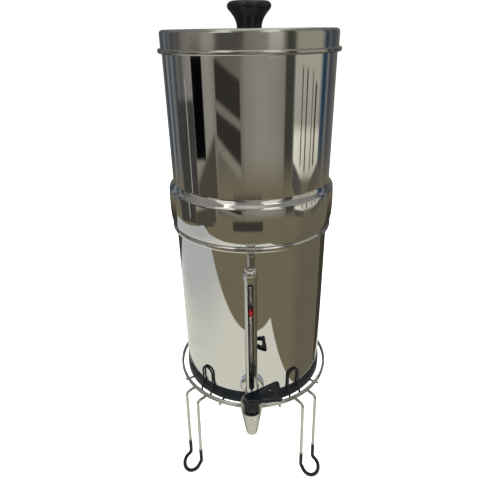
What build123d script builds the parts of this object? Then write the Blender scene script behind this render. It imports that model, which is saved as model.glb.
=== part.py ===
from build123d import *
from math import atan2, cos, radians, sin, sqrt, tan
import os

os.makedirs("parts", exist_ok=True)

# Gravity water filter: two stacked steel chambers, filter elements between them, a tap
# with a sight tube on the lower chamber, and a wire stand with dipped feet.
# Millimetres, +Z up. The origin is on the chambers' axis, on the floor under the feet.
# The tap faces -Y. Azimuths are in degrees from the tap's direction towards +X.

# ---- driving dimensions: chambers ------------------------------------------------------
chamber_radius = 108.0        # outside of both steel chambers
chamber_wall = 1.0            # sheet thickness
chamber_corner = 6.0          # outer radius where a chamber's floor turns up
lower_height = 260.0          # vessel base to the top of the lower chamber's rolled rim
upper_height = 240.1          # shelf of the upper chamber to its top edge
rim_width = 6.0               # rolled rim of the lower chamber, across
rim_height = 8.0              # the same, from top to bottom
bead_flat = 0.2               # flat left across a rolled rim or bead
hem_radius = 1.3              # inward hem on the upper chamber's top edge
spigot_depth = 22.0           # how far the upper chamber drops into the lower one
spigot_clearance = 1.5        # between that spigot and the lower chamber's wall
collar_foot = 5.3             # collar's overhang past the chamber wall, at its lower edge
collar_belly = 6.8            # the same at its widest
collar_brow = 5.9             # the same at its shoulder
collar_belly_height = 24.7    # shelf to the belly
collar_height = 50.7          # shelf to the shoulder's corner
collar_slope = 6.5            # height of the slope from shoulder to chamber wall
shelf_inner_bend = 1.2        # outer radii of the sheet's bends, from the spigot upwards
shelf_outer_bend = 2.8
belly_bend = 100.0
brow_bend = 4.5
wall_bend = 9.0

base_ring_height = 20.0       # rubber ring round the foot of the lower chamber
base_ring_wall = 1.5
base_ring_lip = 5.0           # rubber under the chamber's floor
base_ring_lip_width = 13.0
base_ring_step = 0.5          # the ring's upper band is this much slimmer
base_ring_band = 6.0          # height of that band

rest_gap = 0.3                # between pieces that rest on each other but lift apart

# ---- driving dimensions: lid and knob --------------------------------------------------
lid_sheet = 0.9
lid_clearance = 0.4           # lid skirt to chamber wall
lid_rest_share = 0.75         # of that clearance, left where the lid's corner rests on the rim
lid_depth = 25.5              # lid top to the underside of its bead
lid_corner = 4.5
lid_bead_width = 4.6
lid_bead_height = 5.6
knob_stem_radius = 15.1
knob_radius = 26.9
knob_height = 30.0
knob_top_radius = 17.6
knob_neck_flare = 0.17        # shares of the knob's flare and height, up its waisted side
knob_neck_rise = 0.33
knob_shoulder_flare = 0.65
knob_shoulder_rise = 0.6
knob_widest_rise = 0.8
screw_radius = 2.5
screw_head_radius = 5.0
screw_head_height = 2.6
screw_length = 16.0           # how far the screw reaches into the knob

# ---- driving dimensions: filter elements -----------------------------------------------
hole_circle_radius = 52.0     # four filter holes in the upper chamber's floor
stem_radius = 6.0             # threaded stems of the elements and the blanking plugs
hole_clearance = 0.35
element_radius = 34.0
element_height = 200.0
element_cap_height = 10.0
element_cap_wall = 1.5
washer_radius = 13.0
washer_thickness = 3.0
stem_length = 24.0            # down from the seat of the end cap or plug head
thread_fit = 0.05
wing_nut_radius = 10.0
wing_nut_height = 9.0
wing_span = 34.0
wing_thickness = 4.0
plug_head_radius = 13.0
plug_head_height = 5.0

# ---- driving dimensions: tap -----------------------------------------------------------
tap_ring_gap = 0.3            # top of the base ring to the tap's outer washer
shank_radius = 8.0
shank_clearance = 0.2
outer_washer_radius = 17.2
outer_washer_thickness = 3.2
inner_washer_radius = 15.0
inner_washer_thickness = 4.0  # at the tap's axis; the chamber's curve thins its edge
shank_overrun = 5.0           # shank past the nut
tap_nut_width = 27.0          # across flats
tap_nut_height = 9.0
flange_radius = 16.5
flange_thickness = 4.0
flange_bevel = 1.6
arm_radius = 8.4
inlet_radius = 4.0
spout_reach = 57.0            # chamber wall to the spout's axis
spout_drop = 33.0             # tap axis to the spout's mouth
spout_mouth_radius = 7.6
spout_mouth_bore = 5.5
spout_lip = 1.2               # rounding of the spout's mouth
spout_mouth_length = 16.0     # straight part of the outlet bore
cup_radius = 14.1
cup_floor_rise = 0.4          # arm's top to the ledge that the lever sits on
cup_wall_height = 14.7        # wall that stands round the back of the lever
cup_opening = 115.0           # degrees of that wall left open at the front
seam_depth = 0.4
seam_drop = 7.0               # ledge to the seam round the spout

lever_hub_radius = 10.4
lever_hub_clearance = 0.3
lever_height = 24.7           # ledge to the top of the lever
lever_thickness = 6.0
lever_reach = 42.0            # spout axis to the back corner of the lever's end
lever_reach_front = 39.0      # and to the front corner
lever_end_back = 15.0         # lever's centreline to the back corner
lever_end_front = 16.5        # and to the front corner
lever_back_cut = 1.0          # centreline to the start of the straight back edge
lever_corner = 4.0
lever_edge = 1.2              # rounding along the paddle's upper edges
lever_window_start = 12.5     # spout axis to the near side of the finger window
lever_window_end = 30.0       # and to its far side
lever_window_front = 11.0     # centreline to the window's front side
lever_window_back = (3.0, 8.0)    # and to its back side, at the hub and at the end
lever_turn = 16.0             # how far the closed lever points back past square
valve_radius = 8.0
valve_fit = 0.05              # running fit of the valve plug
valve_square = 7.0
valve_square_height = 8.0
seal_section = 1.0            # radius of the plug's seal ring
dimple_radius = 1.0
dimple_height = 7.0           # lever's foot to the dimple on its hub

# ---- driving dimensions: sight tube ----------------------------------------------------
sight_reach = 27.0            # chamber wall to the tube's axis
guard_radius = 8.0
guard_wall = 1.2
guard_foot = 9.0              # tap axis to the guard's lower end
guard_length = 185.4
slot_width = 7.5
slot_foot = 21.0              # tap axis to the slot's lower end
slot_head = 5.7               # the slot's upper end to the guard's
glass_radius = 5.9
glass_wall = 1.6
lower_seal_length = 22.0      # rubber sleeves between glass and guard
upper_seal_length = 10.0
glass_inset = 2.0             # glass ends short of the guard's ends
boss_radius = 9.6
boss_height = 13.0            # tap axis to the top of the boss that holds the guard
cap_radius = 9.0
cap_height = 13.2
cap_overlap = 1.5             # cap over the guard's upper end
cap_groove = 0.6              # depth and height of the groove round the cap
float_radius = 3.7
float_height = 9.5
float_level = 143.1           # tap axis to the float's middle

# ---- driving dimensions: stand ---------------------------------------------------------
stand_height = 145.5          # floor to the plane that carries the vessel
stand_turn = -2.0             # the stand's turn under the vessel
ring_wire = 3.5
ring_gap = 7.75               # rubber base ring to the support rings
ring_spacing = 4.25           # between the two support rings' centrelines
inner_ring_radius = 60.0
spoke_overrun = 2.0           # spoke ends past the support ring
spoke_azimuths = (22.0, 60.0, 120.0, 156.0)
prong_wire = 3.0
prong_gap = 1.0               # rubber base ring to a prong
prong_half_width = 9.3
prong_height = 49.5
prong_tail = 0.9              # stand's plane to the foot of a prong's tail
prong_crank_foot = 7.0        # stand's plane to the crank that leads in to the vessel
prong_crank_head = 14.0
prong_bend = 5.0
prong_azimuths = (35.8, 144.2)
leg_wire = 4.6
leg_step = 13.5               # support ring's centreline to the rods
leg_half_width = 13.5
leg_azimuths = (42.3, 137.7)
leg_lean = 1.2                # degrees that the rods lean outwards
knee_radius = 5.5
ankle_radius = 5.0            # where a rod kicks outwards into the foot
foot_lean = 60.0              # degrees that the foot leans outwards
foot_straight = 0.6           # between the ankle's bend and the loop's neck
foot_radius = 14.5            # centreline of the foot's loop
neck_radius = 3.3             # where a rod turns into the loop
coat_wall = 0.5               # vinyl dipped over the foot
coat_height = 41.0            # floor to the coat's upper edge

# ---- derived places --------------------------------------------------------------------
vessel_z = stand_height + rest_gap
floor_z = vessel_z + base_ring_lip
lower_rim_z = vessel_z + lower_height
shelf_z = lower_rim_z + rest_gap
upper_floor_z = shelf_z - spigot_depth
upper_rim_z = shelf_z + upper_height
lid_inner_corner = lid_corner - lid_sheet
hem_inset = lid_inner_corner - hem_radius - lid_clearance
hem_reach = lid_inner_corner - hem_radius - lid_rest_share * lid_clearance
hem_rise = sqrt(hem_reach ** 2 - hem_inset ** 2)
lid_top_z = upper_rim_z - hem_radius - hem_rise + lid_corner
spigot_radius = chamber_radius - chamber_wall - spigot_clearance
base_ring_radius = chamber_radius + base_ring_wall

tap_z = vessel_z + base_ring_height + tap_ring_gap + outer_washer_radius
flange_back = chamber_radius + outer_washer_thickness
flange_front = flange_back + flange_thickness
spout_y = chamber_radius + spout_reach
sight_y = chamber_radius + sight_reach
wall_inside = chamber_radius - chamber_wall
nut_face = wall_inside - inner_washer_thickness
shank_end = nut_face - tap_nut_height - shank_overrun
ledge_z = tap_z + arm_radius + cup_floor_rise
mouth_z = tap_z - spout_drop
plug_foot_z = mouth_z + spout_mouth_length
lever_foot_z = ledge_z + rest_gap
lever_top_z = ledge_z + lever_height

ring_radius = base_ring_radius + ring_gap + ring_wire / 2
lower_ring_z = stand_height + ring_wire / 2
spoke_z = stand_height - ring_wire / 2


def polar_plane(azimuth, radius, height):
    """Upright plane facing outwards: x runs round the vessel, y up, z outwards."""
    turn = radians(azimuth)
    return Plane(
        origin=(radius * sin(turn), -radius * cos(turn), height),
        x_dir=(cos(turn), sin(turn), 0),
        z_dir=(sin(turn), -cos(turn), 0),
    )


def four_ways(azimuths):
    """Name and azimuth of a fitting on each side, front and back."""
    front, back = azimuths
    places = {"front_right": front, "front_left": -front, "back_right": back, "back_left": -back}
    return [(name, azimuth + stand_turn) for name, azimuth in places.items()]


# ======================================================================== wire stand ====
# Two bright rings stand round the vessel's foot, one above the other.
with BuildPart() as stand_upper_ring:
    with BuildSketch(Plane.XZ):
        with Locations((ring_radius, lower_ring_z + ring_spacing)):
            Circle(ring_wire / 2)
    revolve(axis=Axis.Z)
stand_upper_ring.part.label = "stand_upper_ring"
export_step(stand_upper_ring.part, "parts/stand_upper_ring.step")

with BuildPart() as stand_lower_ring:
    with BuildSketch(Plane.XZ):
        with Locations((ring_radius, lower_ring_z)):
            Circle(ring_wire / 2)
    revolve(axis=Axis.Z)
stand_lower_ring.part.label = "stand_lower_ring"
export_step(stand_lower_ring.part, "parts/stand_lower_ring.step")

# Spokes under the rings carry the vessel, and a small ring joins their inner ends.
with BuildPart() as stand_base_frame:
    with BuildSketch(Plane.XZ):
        with Locations((inner_ring_radius, spoke_z)):
            Circle(ring_wire / 2)
    revolve(axis=Axis.Z)
    for spoke_azimuth in spoke_azimuths:
        for side in (1, -1):
            with BuildSketch(polar_plane(side * spoke_azimuth + stand_turn, inner_ring_radius, spoke_z)):
                Circle(ring_wire / 2)
            extrude(amount=ring_radius + ring_wire / 2 + spoke_overrun - inner_ring_radius)
stand_base_frame.part.label = "stand_base_frame"
export_step(stand_base_frame.part, "parts/stand_base_frame.step")

# Four hairpin prongs keep the vessel from sliding off; their tails meet the rings' inside.
prong_radius = base_ring_radius + prong_gap + prong_wire / 2
tail_reach = ring_radius - ring_wire / 2 - prong_wire / 2
tail_radius = sqrt(tail_reach ** 2 - prong_half_width ** 2)
prong_bow_height = prong_height - prong_half_width
for place, azimuth in four_ways(prong_azimuths):
    with BuildPart() as prong:
        with BuildLine(polar_plane(azimuth, 0, stand_height)) as prong_path:
            for side in (1, -1):
                FilletPolyline(
                    (side * prong_half_width, prong_tail, tail_radius),
                    (side * prong_half_width, prong_crank_foot, tail_radius),
                    (side * prong_half_width, prong_crank_head, prong_radius),
                    (side * prong_half_width, prong_bow_height, prong_radius),
                    radius=prong_bend,
                )
            ThreePointArc(
                (prong_half_width, prong_bow_height, prong_radius),
                (0, prong_height, prong_radius),
                (-prong_half_width, prong_bow_height, prong_radius),
            )
        prong_wire_path = prong_path.wires()[0]
        with BuildSketch(prong_wire_path ^ 0):
            Circle(prong_wire / 2)
        sweep(path=prong_wire_path)
    prong.part.label = f"stand_prong_{place}"
    export_step(prong.part, f"parts/stand_prong_{place}.step")

# Each leg is one hairpin of thick wire: knee, rod, ankle, round foot, and the same back up.
leg_top_z = stand_height - leg_wire / 2
coat_radius = leg_wire / 2 + coat_wall
leg_radius = ring_radius + leg_step
tail_in = leg_step + ring_wire / 2
rod_lean = radians(leg_lean)
foot_tilt = radians(foot_lean)
neck_start = ankle_radius * tan((foot_tilt - rod_lean) / 2) + foot_straight
neck_x = leg_half_width + neck_radius
loop_reach = sqrt((foot_radius + neck_radius) ** 2 - neck_x ** 2)
neck_turn = atan2(loop_reach, neck_x)
loop_end = neck_start + loop_reach + foot_radius
ankle_z = coat_radius + loop_end * cos(foot_tilt)
leg_splay = (leg_top_z - ankle_z) * tan(rod_lean)
coat_splay = (leg_top_z - coat_height) * tan(rod_lean)


def leg_plane(azimuth):
    """Floor plane of one leg: x runs round the vessel, y outwards from its rods' upper end."""
    turn = radians(azimuth)
    return Plane(
        origin=(leg_radius * sin(turn), -leg_radius * cos(turn), 0),
        x_dir=(-cos(turn), -sin(turn), 0),
        z_dir=(0, 0, 1),
    )


def on_foot(across, along):
    """A point of the foot's leaning plane: across the leg, and along from the ankle's corner."""
    return (across, leg_splay + along * sin(foot_tilt), ankle_z - along * cos(foot_tilt))


def foot_loop():
    """Neck, round loop and neck of one foot."""
    for side in (1, -1):
        ThreePointArc(
            on_foot(side * leg_half_width, neck_start),
            on_foot(
                side * (neck_x - neck_radius * cos(neck_turn / 2)),
                neck_start + neck_radius * sin(neck_turn / 2),
            ),
            on_foot(
                side * (neck_x - neck_radius * cos(neck_turn)),
                neck_start + neck_radius * sin(neck_turn),
            ),
        )
    ThreePointArc(
        on_foot(neck_x - neck_radius * cos(neck_turn), neck_start + neck_radius * sin(neck_turn)),
        on_foot(0, loop_end),
        on_foot(neck_radius * cos(neck_turn) - neck_x, neck_start + neck_radius * sin(neck_turn)),
    )


for place, azimuth in four_ways(leg_azimuths):
    with BuildPart() as leg:
        with BuildLine(leg_plane(azimuth)) as leg_path:
            for side in (1, -1):
                FilletPolyline(
                    (side * leg_half_width, -tail_in, leg_top_z),
                    (side * leg_half_width, 0, leg_top_z),
                    (side * leg_half_width, leg_splay, ankle_z),
                    on_foot(side * leg_half_width, neck_start),
                    radius=[knee_radius, ankle_radius],
                )
            foot_loop()
        leg_wire_path = leg_path.wires()[0]
        with BuildSketch(leg_wire_path ^ 0):
            Circle(leg_wire / 2)
        sweep(path=leg_wire_path)
    leg.part.label = f"stand_leg_{place}"
    export_step(leg.part, f"parts/stand_leg_{place}.step")

    # The foot and the rods' lower ends are dipped in black vinyl.
    with BuildPart() as coat:
        with BuildLine(leg_plane(azimuth)) as coat_path:
            for side in (1, -1):
                FilletPolyline(
                    (side * leg_half_width, coat_splay, coat_height),
                    (side * leg_half_width, leg_splay, ankle_z),
                    on_foot(side * leg_half_width, neck_start),
                    radius=ankle_radius,
                )
            foot_loop()
        coat_wire_path = coat_path.wires()[0]
        with BuildSketch(coat_wire_path ^ 0):
            Circle(coat_radius)
            Circle(leg_wire / 2, mode=Mode.SUBTRACT)
        sweep(path=coat_wire_path)
    coat.part.label = f"foot_sleeve_{place}"
    export_step(coat.part, f"parts/foot_sleeve_{place}.step")

# =================================================================== lower chamber ======
# Seamless drawn can with a rolled rim and one hole for the tap's shank.
with BuildPart() as lower_chamber:
    with BuildSketch(Plane.XZ):
        with BuildLine():
            FilletPolyline(
                (0, floor_z),
                (chamber_radius, floor_z),
                (chamber_radius, lower_rim_z - rim_height / 2),
                radius=chamber_corner,
            )
            offset(amount=chamber_wall, side=Side.LEFT)
        make_face()
        with Locations((chamber_radius - chamber_wall + rim_width / 2, lower_rim_z - rim_height / 2)):
            RectangleRounded(rim_width, rim_height, (rim_width - bead_flat) / 2)
    revolve(axis=Axis.Z)
    with BuildSketch(Plane.XZ):
        with Locations((0, tap_z)):
            Circle(shank_radius + shank_clearance)
    extrude(amount=chamber_radius + rim_width, mode=Mode.SUBTRACT)
lower_chamber.part.label = "lower_chamber"
export_step(lower_chamber.part, "parts/lower_chamber.step")

# Rubber ring stretched round the foot, with a lip under the floor and a slimmer band on top.
with BuildPart() as base_ring:
    with BuildSketch(Plane.XZ):
        with BuildLine():
            Polyline(
                (chamber_radius - base_ring_lip_width, vessel_z),
                (base_ring_radius, vessel_z),
                (base_ring_radius, vessel_z + base_ring_height - base_ring_band),
                (base_ring_radius - base_ring_step, vessel_z + base_ring_height - base_ring_band),
                (base_ring_radius - base_ring_step, vessel_z + base_ring_height),
                (chamber_radius, vessel_z + base_ring_height),
                (chamber_radius, floor_z + chamber_corner),
            )
            RadiusArc(
                (chamber_radius, floor_z + chamber_corner),
                (chamber_radius - chamber_corner, floor_z),
                chamber_corner,
            )
            Polyline(
                (chamber_radius - chamber_corner, floor_z),
                (chamber_radius - base_ring_lip_width, floor_z),
                (chamber_radius - base_ring_lip_width, vessel_z),
            )
        make_face()
    revolve(axis=Axis.Z)
base_ring.part.label = "base_ring"
export_step(base_ring.part, "parts/base_ring.step")

# =================================================================== upper chamber ======
# One sheet: floor, spigot, shelf on the lower rim, bulged collar, straight wall, inward hem.
with BuildPart() as upper_chamber:
    with BuildSketch(Plane.XZ):
        with BuildLine():
            FilletPolyline(
                (0, upper_floor_z),
                (spigot_radius, upper_floor_z),
                (spigot_radius, shelf_z),
                (chamber_radius + collar_foot, shelf_z),
                (chamber_radius + collar_belly, shelf_z + collar_belly_height),
                (chamber_radius + collar_brow, shelf_z + collar_height),
                (chamber_radius, shelf_z + collar_height + collar_slope),
                (chamber_radius, upper_rim_z - hem_radius),
                radius=[
                    chamber_corner,
                    shelf_inner_bend,
                    shelf_outer_bend,
                    belly_bend,
                    brow_bend,
                    wall_bend,
                ],
            )
            offset(amount=chamber_wall, side=Side.LEFT)
        make_face()
        with Locations((chamber_radius - hem_radius, upper_rim_z - hem_radius)):
            Circle(hem_radius)
    revolve(axis=Axis.Z)
    with BuildSketch(Plane.XY.offset(upper_floor_z)):
        with PolarLocations(hole_circle_radius, 4):
            Circle(stem_radius + hole_clearance)
    extrude(amount=chamber_wall, mode=Mode.SUBTRACT)
upper_chamber.part.label = "upper_chamber"
export_step(upper_chamber.part, "parts/upper_chamber.step")

# ================================================================= filter elements ======
element_seat_z = upper_floor_z + chamber_wall
cap_foot_z = element_seat_z + washer_thickness
nut_top_z = upper_floor_z - washer_thickness


for place, side in (("right", 1), ("left", -1)):
    element_x = side * hole_circle_radius
    with BuildPart() as element:
        with BuildSketch(Plane.XY.offset(cap_foot_z + element_cap_wall)):
            with Locations((element_x, 0)):
                Circle(element_radius)
        extrude(amount=element_height)
        fillet(element.edges().group_by(Axis.Z)[-1], element_radius / 4)
    element.part.label = f"filter_element_{place}"
    export_step(element.part, f"parts/filter_element_{place}.step")

    # Plastic end cap glued round the element's foot, with its hollow threaded stem.
    with BuildPart() as element_cap:
        with BuildSketch(Plane.XY.offset(cap_foot_z)):
            with Locations((element_x, 0)):
                Circle(element_radius + element_cap_wall)
        extrude(amount=element_cap_height)
        with BuildSketch(Plane.XY.offset(cap_foot_z + element_cap_wall)):
            with Locations((element_x, 0)):
                Circle(element_radius)
        extrude(amount=element_cap_height, mode=Mode.SUBTRACT)
        with BuildSketch(Plane.XY.offset(cap_foot_z)):
            with Locations((element_x, 0)):
                Circle(stem_radius)
        extrude(amount=-stem_length)
        with BuildSketch(Plane.XY.offset(cap_foot_z + element_cap_wall)):
            with Locations((element_x, 0)):
                Circle(stem_radius / 2)
        extrude(amount=-stem_length - element_cap_wall, mode=Mode.SUBTRACT)
    element_cap.part.label = f"element_cap_{place}"
    export_step(element_cap.part, f"parts/element_cap_{place}.step")

# Sealing washers: one on the floor inside and one below it, round every stem.
washer_places = {
    "element_washer_right": (hole_circle_radius, 0),
    "element_washer_left": (-hole_circle_radius, 0),
    "plug_washer_front": (0, -hole_circle_radius),
    "plug_washer_back": (0, hole_circle_radius),
}
for name, (stem_x, stem_y) in washer_places.items():
    with BuildPart() as washer:
        for washer_z in (element_seat_z, nut_top_z):
            with BuildSketch(Plane.XY.offset(washer_z)):
                with Locations((stem_x, stem_y)):
                    Circle(washer_radius)
                    Circle(stem_radius + thread_fit, mode=Mode.SUBTRACT)
            extrude(amount=washer_thickness)
    washer.part.label = name
    export_step(washer.part, f"parts/{name}.step")

# Blanking plugs close the two spare holes.
for place, side in (("front", -1), ("back", 1)):
    plug_y = side * hole_circle_radius
    with BuildPart() as plug:
        with BuildSketch(Plane.XY.offset(cap_foot_z)):
            with Locations((0, plug_y)):
                Circle(plug_head_radius)
        extrude(amount=plug_head_height)
        fillet(plug.edges().group_by(Axis.Z)[-1], plug_head_height / 2)
        with BuildSketch(Plane.XY.offset(cap_foot_z)):
            with Locations((0, plug_y)):
                Circle(stem_radius)
        extrude(amount=-stem_length)
    plug.part.label = f"blanking_plug_{place}"
    export_step(plug.part, f"parts/blanking_plug_{place}.step")

# Wing nuts under the upper chamber's floor pull each element or plug down.
nut_places = {
    "wing_nut_right": (hole_circle_radius, 0, 90),
    "wing_nut_left": (-hole_circle_radius, 0, 90),
    "wing_nut_front": (0, -hole_circle_radius, 0),
    "wing_nut_back": (0, hole_circle_radius, 0),
}
for name, (nut_x, nut_y, nut_turn) in nut_places.items():
    with BuildPart() as wing_nut:
        with BuildSketch(Plane.XY.offset(nut_top_z - wing_nut_height)):
            with Locations(Location((nut_x, nut_y), nut_turn)):
                SlotOverall(wing_span, wing_thickness)
                Circle(wing_nut_radius)
                Circle(stem_radius + thread_fit, mode=Mode.SUBTRACT)
        extrude(amount=wing_nut_height)
    wing_nut.part.label = name
    export_step(wing_nut.part, f"parts/{name}.step")

# ===================================================================== lid and knob =====
# Shallow pressed lid with a rolled bead round its skirt.
lid_radius = chamber_radius + lid_clearance + lid_sheet
lid_bead_z = lid_top_z - lid_depth + lid_bead_height / 2
with BuildPart() as lid:
    with BuildSketch(Plane.XZ):
        with BuildLine():
            FilletPolyline(
                (0, lid_top_z),
                (lid_radius, lid_top_z),
                (lid_radius, lid_bead_z),
                radius=lid_corner,
            )
            offset(amount=lid_sheet, side=Side.RIGHT)
        make_face()
        with Locations((lid_radius - lid_sheet + lid_bead_width / 2, lid_bead_z)):
            RectangleRounded(lid_bead_width, lid_bead_height, (lid_bead_width - bead_flat) / 2)
    revolve(axis=Axis.Z)
    with BuildSketch(Plane.XY.offset(lid_top_z)):
        Circle(screw_radius + thread_fit)
    extrude(amount=-lid_sheet, mode=Mode.SUBTRACT)
lid.part.label = "lid"
export_step(lid.part, "parts/lid.step")

# Turned knob: a waisted stem that flares into a rounded, flat-topped cap.
knob_flare = knob_radius - knob_stem_radius
knob_top_z = lid_top_z + knob_height
knob_neck = (
    knob_stem_radius + knob_neck_flare * knob_flare,
    lid_top_z + knob_neck_rise * knob_height,
)
knob_shoulder = (
    knob_stem_radius + knob_shoulder_flare * knob_flare,
    lid_top_z + knob_shoulder_rise * knob_height,
)
knob_widest = (knob_radius, lid_top_z + knob_widest_rise * knob_height)
with BuildPart() as lid_knob:
    with BuildSketch(Plane.XZ):
        with BuildLine():
            Line((0, lid_top_z), (knob_stem_radius, lid_top_z))
            Spline(
                (knob_stem_radius, lid_top_z),
                knob_neck,
                knob_shoulder,
                knob_widest,
                tangents=[(0, 1), (0, 1)],
            )
            Spline(knob_widest, (knob_top_radius, knob_top_z), tangents=[(0, 1), (-1, 0)])
            Line((knob_top_radius, knob_top_z), (0, knob_top_z))
            Line((0, knob_top_z), (0, lid_top_z))
        make_face()
    revolve(axis=Axis.Z)
    with BuildSketch(Plane.XY.offset(lid_top_z)):
        Circle(screw_radius + thread_fit)
    extrude(amount=screw_length + rest_gap, mode=Mode.SUBTRACT)
lid_knob.part.label = "lid_knob"
export_step(lid_knob.part, "parts/lid_knob.step")

# Pan-head screw up through the lid into the knob.
with BuildPart() as knob_screw:
    with BuildSketch(Plane.XY.offset(lid_top_z - lid_sheet)):
        Circle(screw_head_radius)
    extrude(amount=-screw_head_height)
    fillet(knob_screw.edges().group_by(Axis.Z)[0], screw_head_height / 2)
    with BuildSketch(Plane.XY.offset(lid_top_z - lid_sheet)):
        Circle(screw_radius)
    extrude(amount=lid_sheet + screw_length)
knob_screw.part.label = "knob_screw"
export_step(knob_screw.part, "parts/knob_screw.step")

# ============================================================================== tap =====
spout_axis = Axis((0, -spout_y, 0), (0, 0, 1))
tap_axis = Axis((0, 0, tap_z), (0, 1, 0))
tap_plane = Plane(origin=(0, 0, tap_z), x_dir=(1, 0, 0), z_dir=(0, -1, 0))
gap_side = 2 * cup_radius
gap_half = radians(cup_opening / 2)
seam_share = (ledge_z - seam_drop - mouth_z) / (ledge_z - mouth_z)
seam_radius = spout_mouth_radius + seam_share * (cup_radius - spout_mouth_radius)

# Chromed casting: threaded shank, flange, arm, boss for the sight tube and tapered spout.
with BuildPart() as tap_body:
    with BuildSketch(Plane.XZ.offset(spout_y)):
        with BuildLine():
            Polyline(
                (0, mouth_z),
                (spout_mouth_radius, mouth_z),
                (cup_radius, ledge_z),
                (0, ledge_z),
                close=True,
            )
        make_face()
    revolve(axis=spout_axis)
    fillet(tap_body.edges().group_by(Axis.Z)[0], spout_lip)
    with BuildSketch(Plane.YZ):
        with BuildLine():
            Polyline(
                (-shank_end, tap_z),
                (-shank_end, tap_z + shank_radius),
                (-flange_back, tap_z + shank_radius),
                (-flange_back, tap_z + flange_radius),
                (-flange_front + flange_bevel, tap_z + flange_radius),
                (-flange_front, tap_z + flange_radius - flange_bevel),
                (-flange_front, tap_z + arm_radius),
                (-spout_y, tap_z + arm_radius),
                (-spout_y, tap_z),
                close=True,
            )
        make_face()
    revolve(axis=tap_axis)
    with BuildSketch(Plane.XY.offset(tap_z)):
        with Locations((0, -sight_y)):
            Circle(boss_radius)
    extrude(amount=boss_height)
    # wall round the back of the lever
    with BuildSketch(Plane.XY.offset(ledge_z)):
        with Locations((0, -spout_y)):
            Circle(cup_radius)
            Circle(lever_hub_radius + lever_hub_clearance, mode=Mode.SUBTRACT)
        with BuildLine():
            Polyline(
                (0, -spout_y),
                (-gap_side * sin(gap_half), -spout_y - gap_side * cos(gap_half)),
                (gap_side * sin(gap_half), -spout_y - gap_side * cos(gap_half)),
                close=True,
            )
        make_face(mode=Mode.SUBTRACT)
    extrude(amount=cup_wall_height)
    # seam round the spout, where the valve housing ends
    with BuildSketch(Plane.XZ.offset(spout_y)):
        with Locations((seam_radius, ledge_z - seam_drop)):
            Rectangle(2 * seam_depth, seam_depth)
    revolve(axis=spout_axis, mode=Mode.SUBTRACT)
    # bores: inlet, sight tube port and socket, valve seat and outlet
    with BuildSketch(tap_plane.offset(shank_end)):
        Circle(inlet_radius)
    extrude(amount=spout_y - shank_end, mode=Mode.SUBTRACT)
    with BuildSketch(Plane.XY.offset(tap_z)):
        with Locations((0, -sight_y)):
            Circle(inlet_radius / 2)
    extrude(amount=guard_foot, mode=Mode.SUBTRACT)
    with BuildSketch(Plane.XY.offset(tap_z + guard_foot)):
        with Locations((0, -sight_y)):
            Circle(guard_radius + thread_fit)
    extrude(amount=boss_height, mode=Mode.SUBTRACT)
    with BuildSketch(Plane.XY.offset(plug_foot_z)):
        with Locations((0, -spout_y)):
            Circle(valve_radius + valve_fit)
    extrude(amount=ledge_z - plug_foot_z, mode=Mode.SUBTRACT)
    with BuildSketch(Plane.XY.offset(mouth_z)):
        with Locations((0, -spout_y)):
            Circle(spout_mouth_bore)
    extrude(amount=spout_mouth_length, mode=Mode.SUBTRACT)
tap_body.part.label = "tap_body"
export_step(tap_body.part, "parts/tap_body.step")

# Soft washer outside, moulded to the chamber's curve.
with BuildPart() as tap_outer_washer:
    with BuildSketch(tap_plane.offset(wall_inside - inner_washer_thickness)):
        Circle(outer_washer_radius)
        Circle(shank_radius + thread_fit, mode=Mode.SUBTRACT)
    extrude(amount=flange_back - wall_inside + inner_washer_thickness)
    with BuildSketch(Plane.XY.offset(tap_z - outer_washer_radius)):
        Circle(chamber_radius)
    extrude(amount=2 * outer_washer_radius, mode=Mode.SUBTRACT)
tap_outer_washer.part.label = "tap_outer_washer"
export_step(tap_outer_washer.part, "parts/tap_outer_washer.step")

# Rubber washer inside, squeezed into the hollow of the wall by the nut.
with BuildPart() as tap_inner_washer:
    with BuildSketch(tap_plane.offset(nut_face)):
        Circle(inner_washer_radius)
        Circle(shank_radius + thread_fit, mode=Mode.SUBTRACT)
    extrude(amount=inner_washer_thickness)
    with BuildSketch(Plane.XY.offset(tap_z - inner_washer_radius)):
        Circle(wall_inside)
    extrude(amount=2 * inner_washer_radius, mode=Mode.INTERSECT)
tap_inner_washer.part.label = "tap_inner_washer"
export_step(tap_inner_washer.part, "parts/tap_inner_washer.step")

with BuildPart() as tap_nut:
    with BuildSketch(tap_plane.offset(nut_face - tap_nut_height)):
        RegularPolygon(tap_nut_width / 2, 6, major_radius=False)
        Circle(shank_radius + thread_fit, mode=Mode.SUBTRACT)
    extrude(amount=tap_nut_height)
tap_nut.part.label = "tap_nut"
export_step(tap_nut.part, "parts/tap_nut.step")

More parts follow.
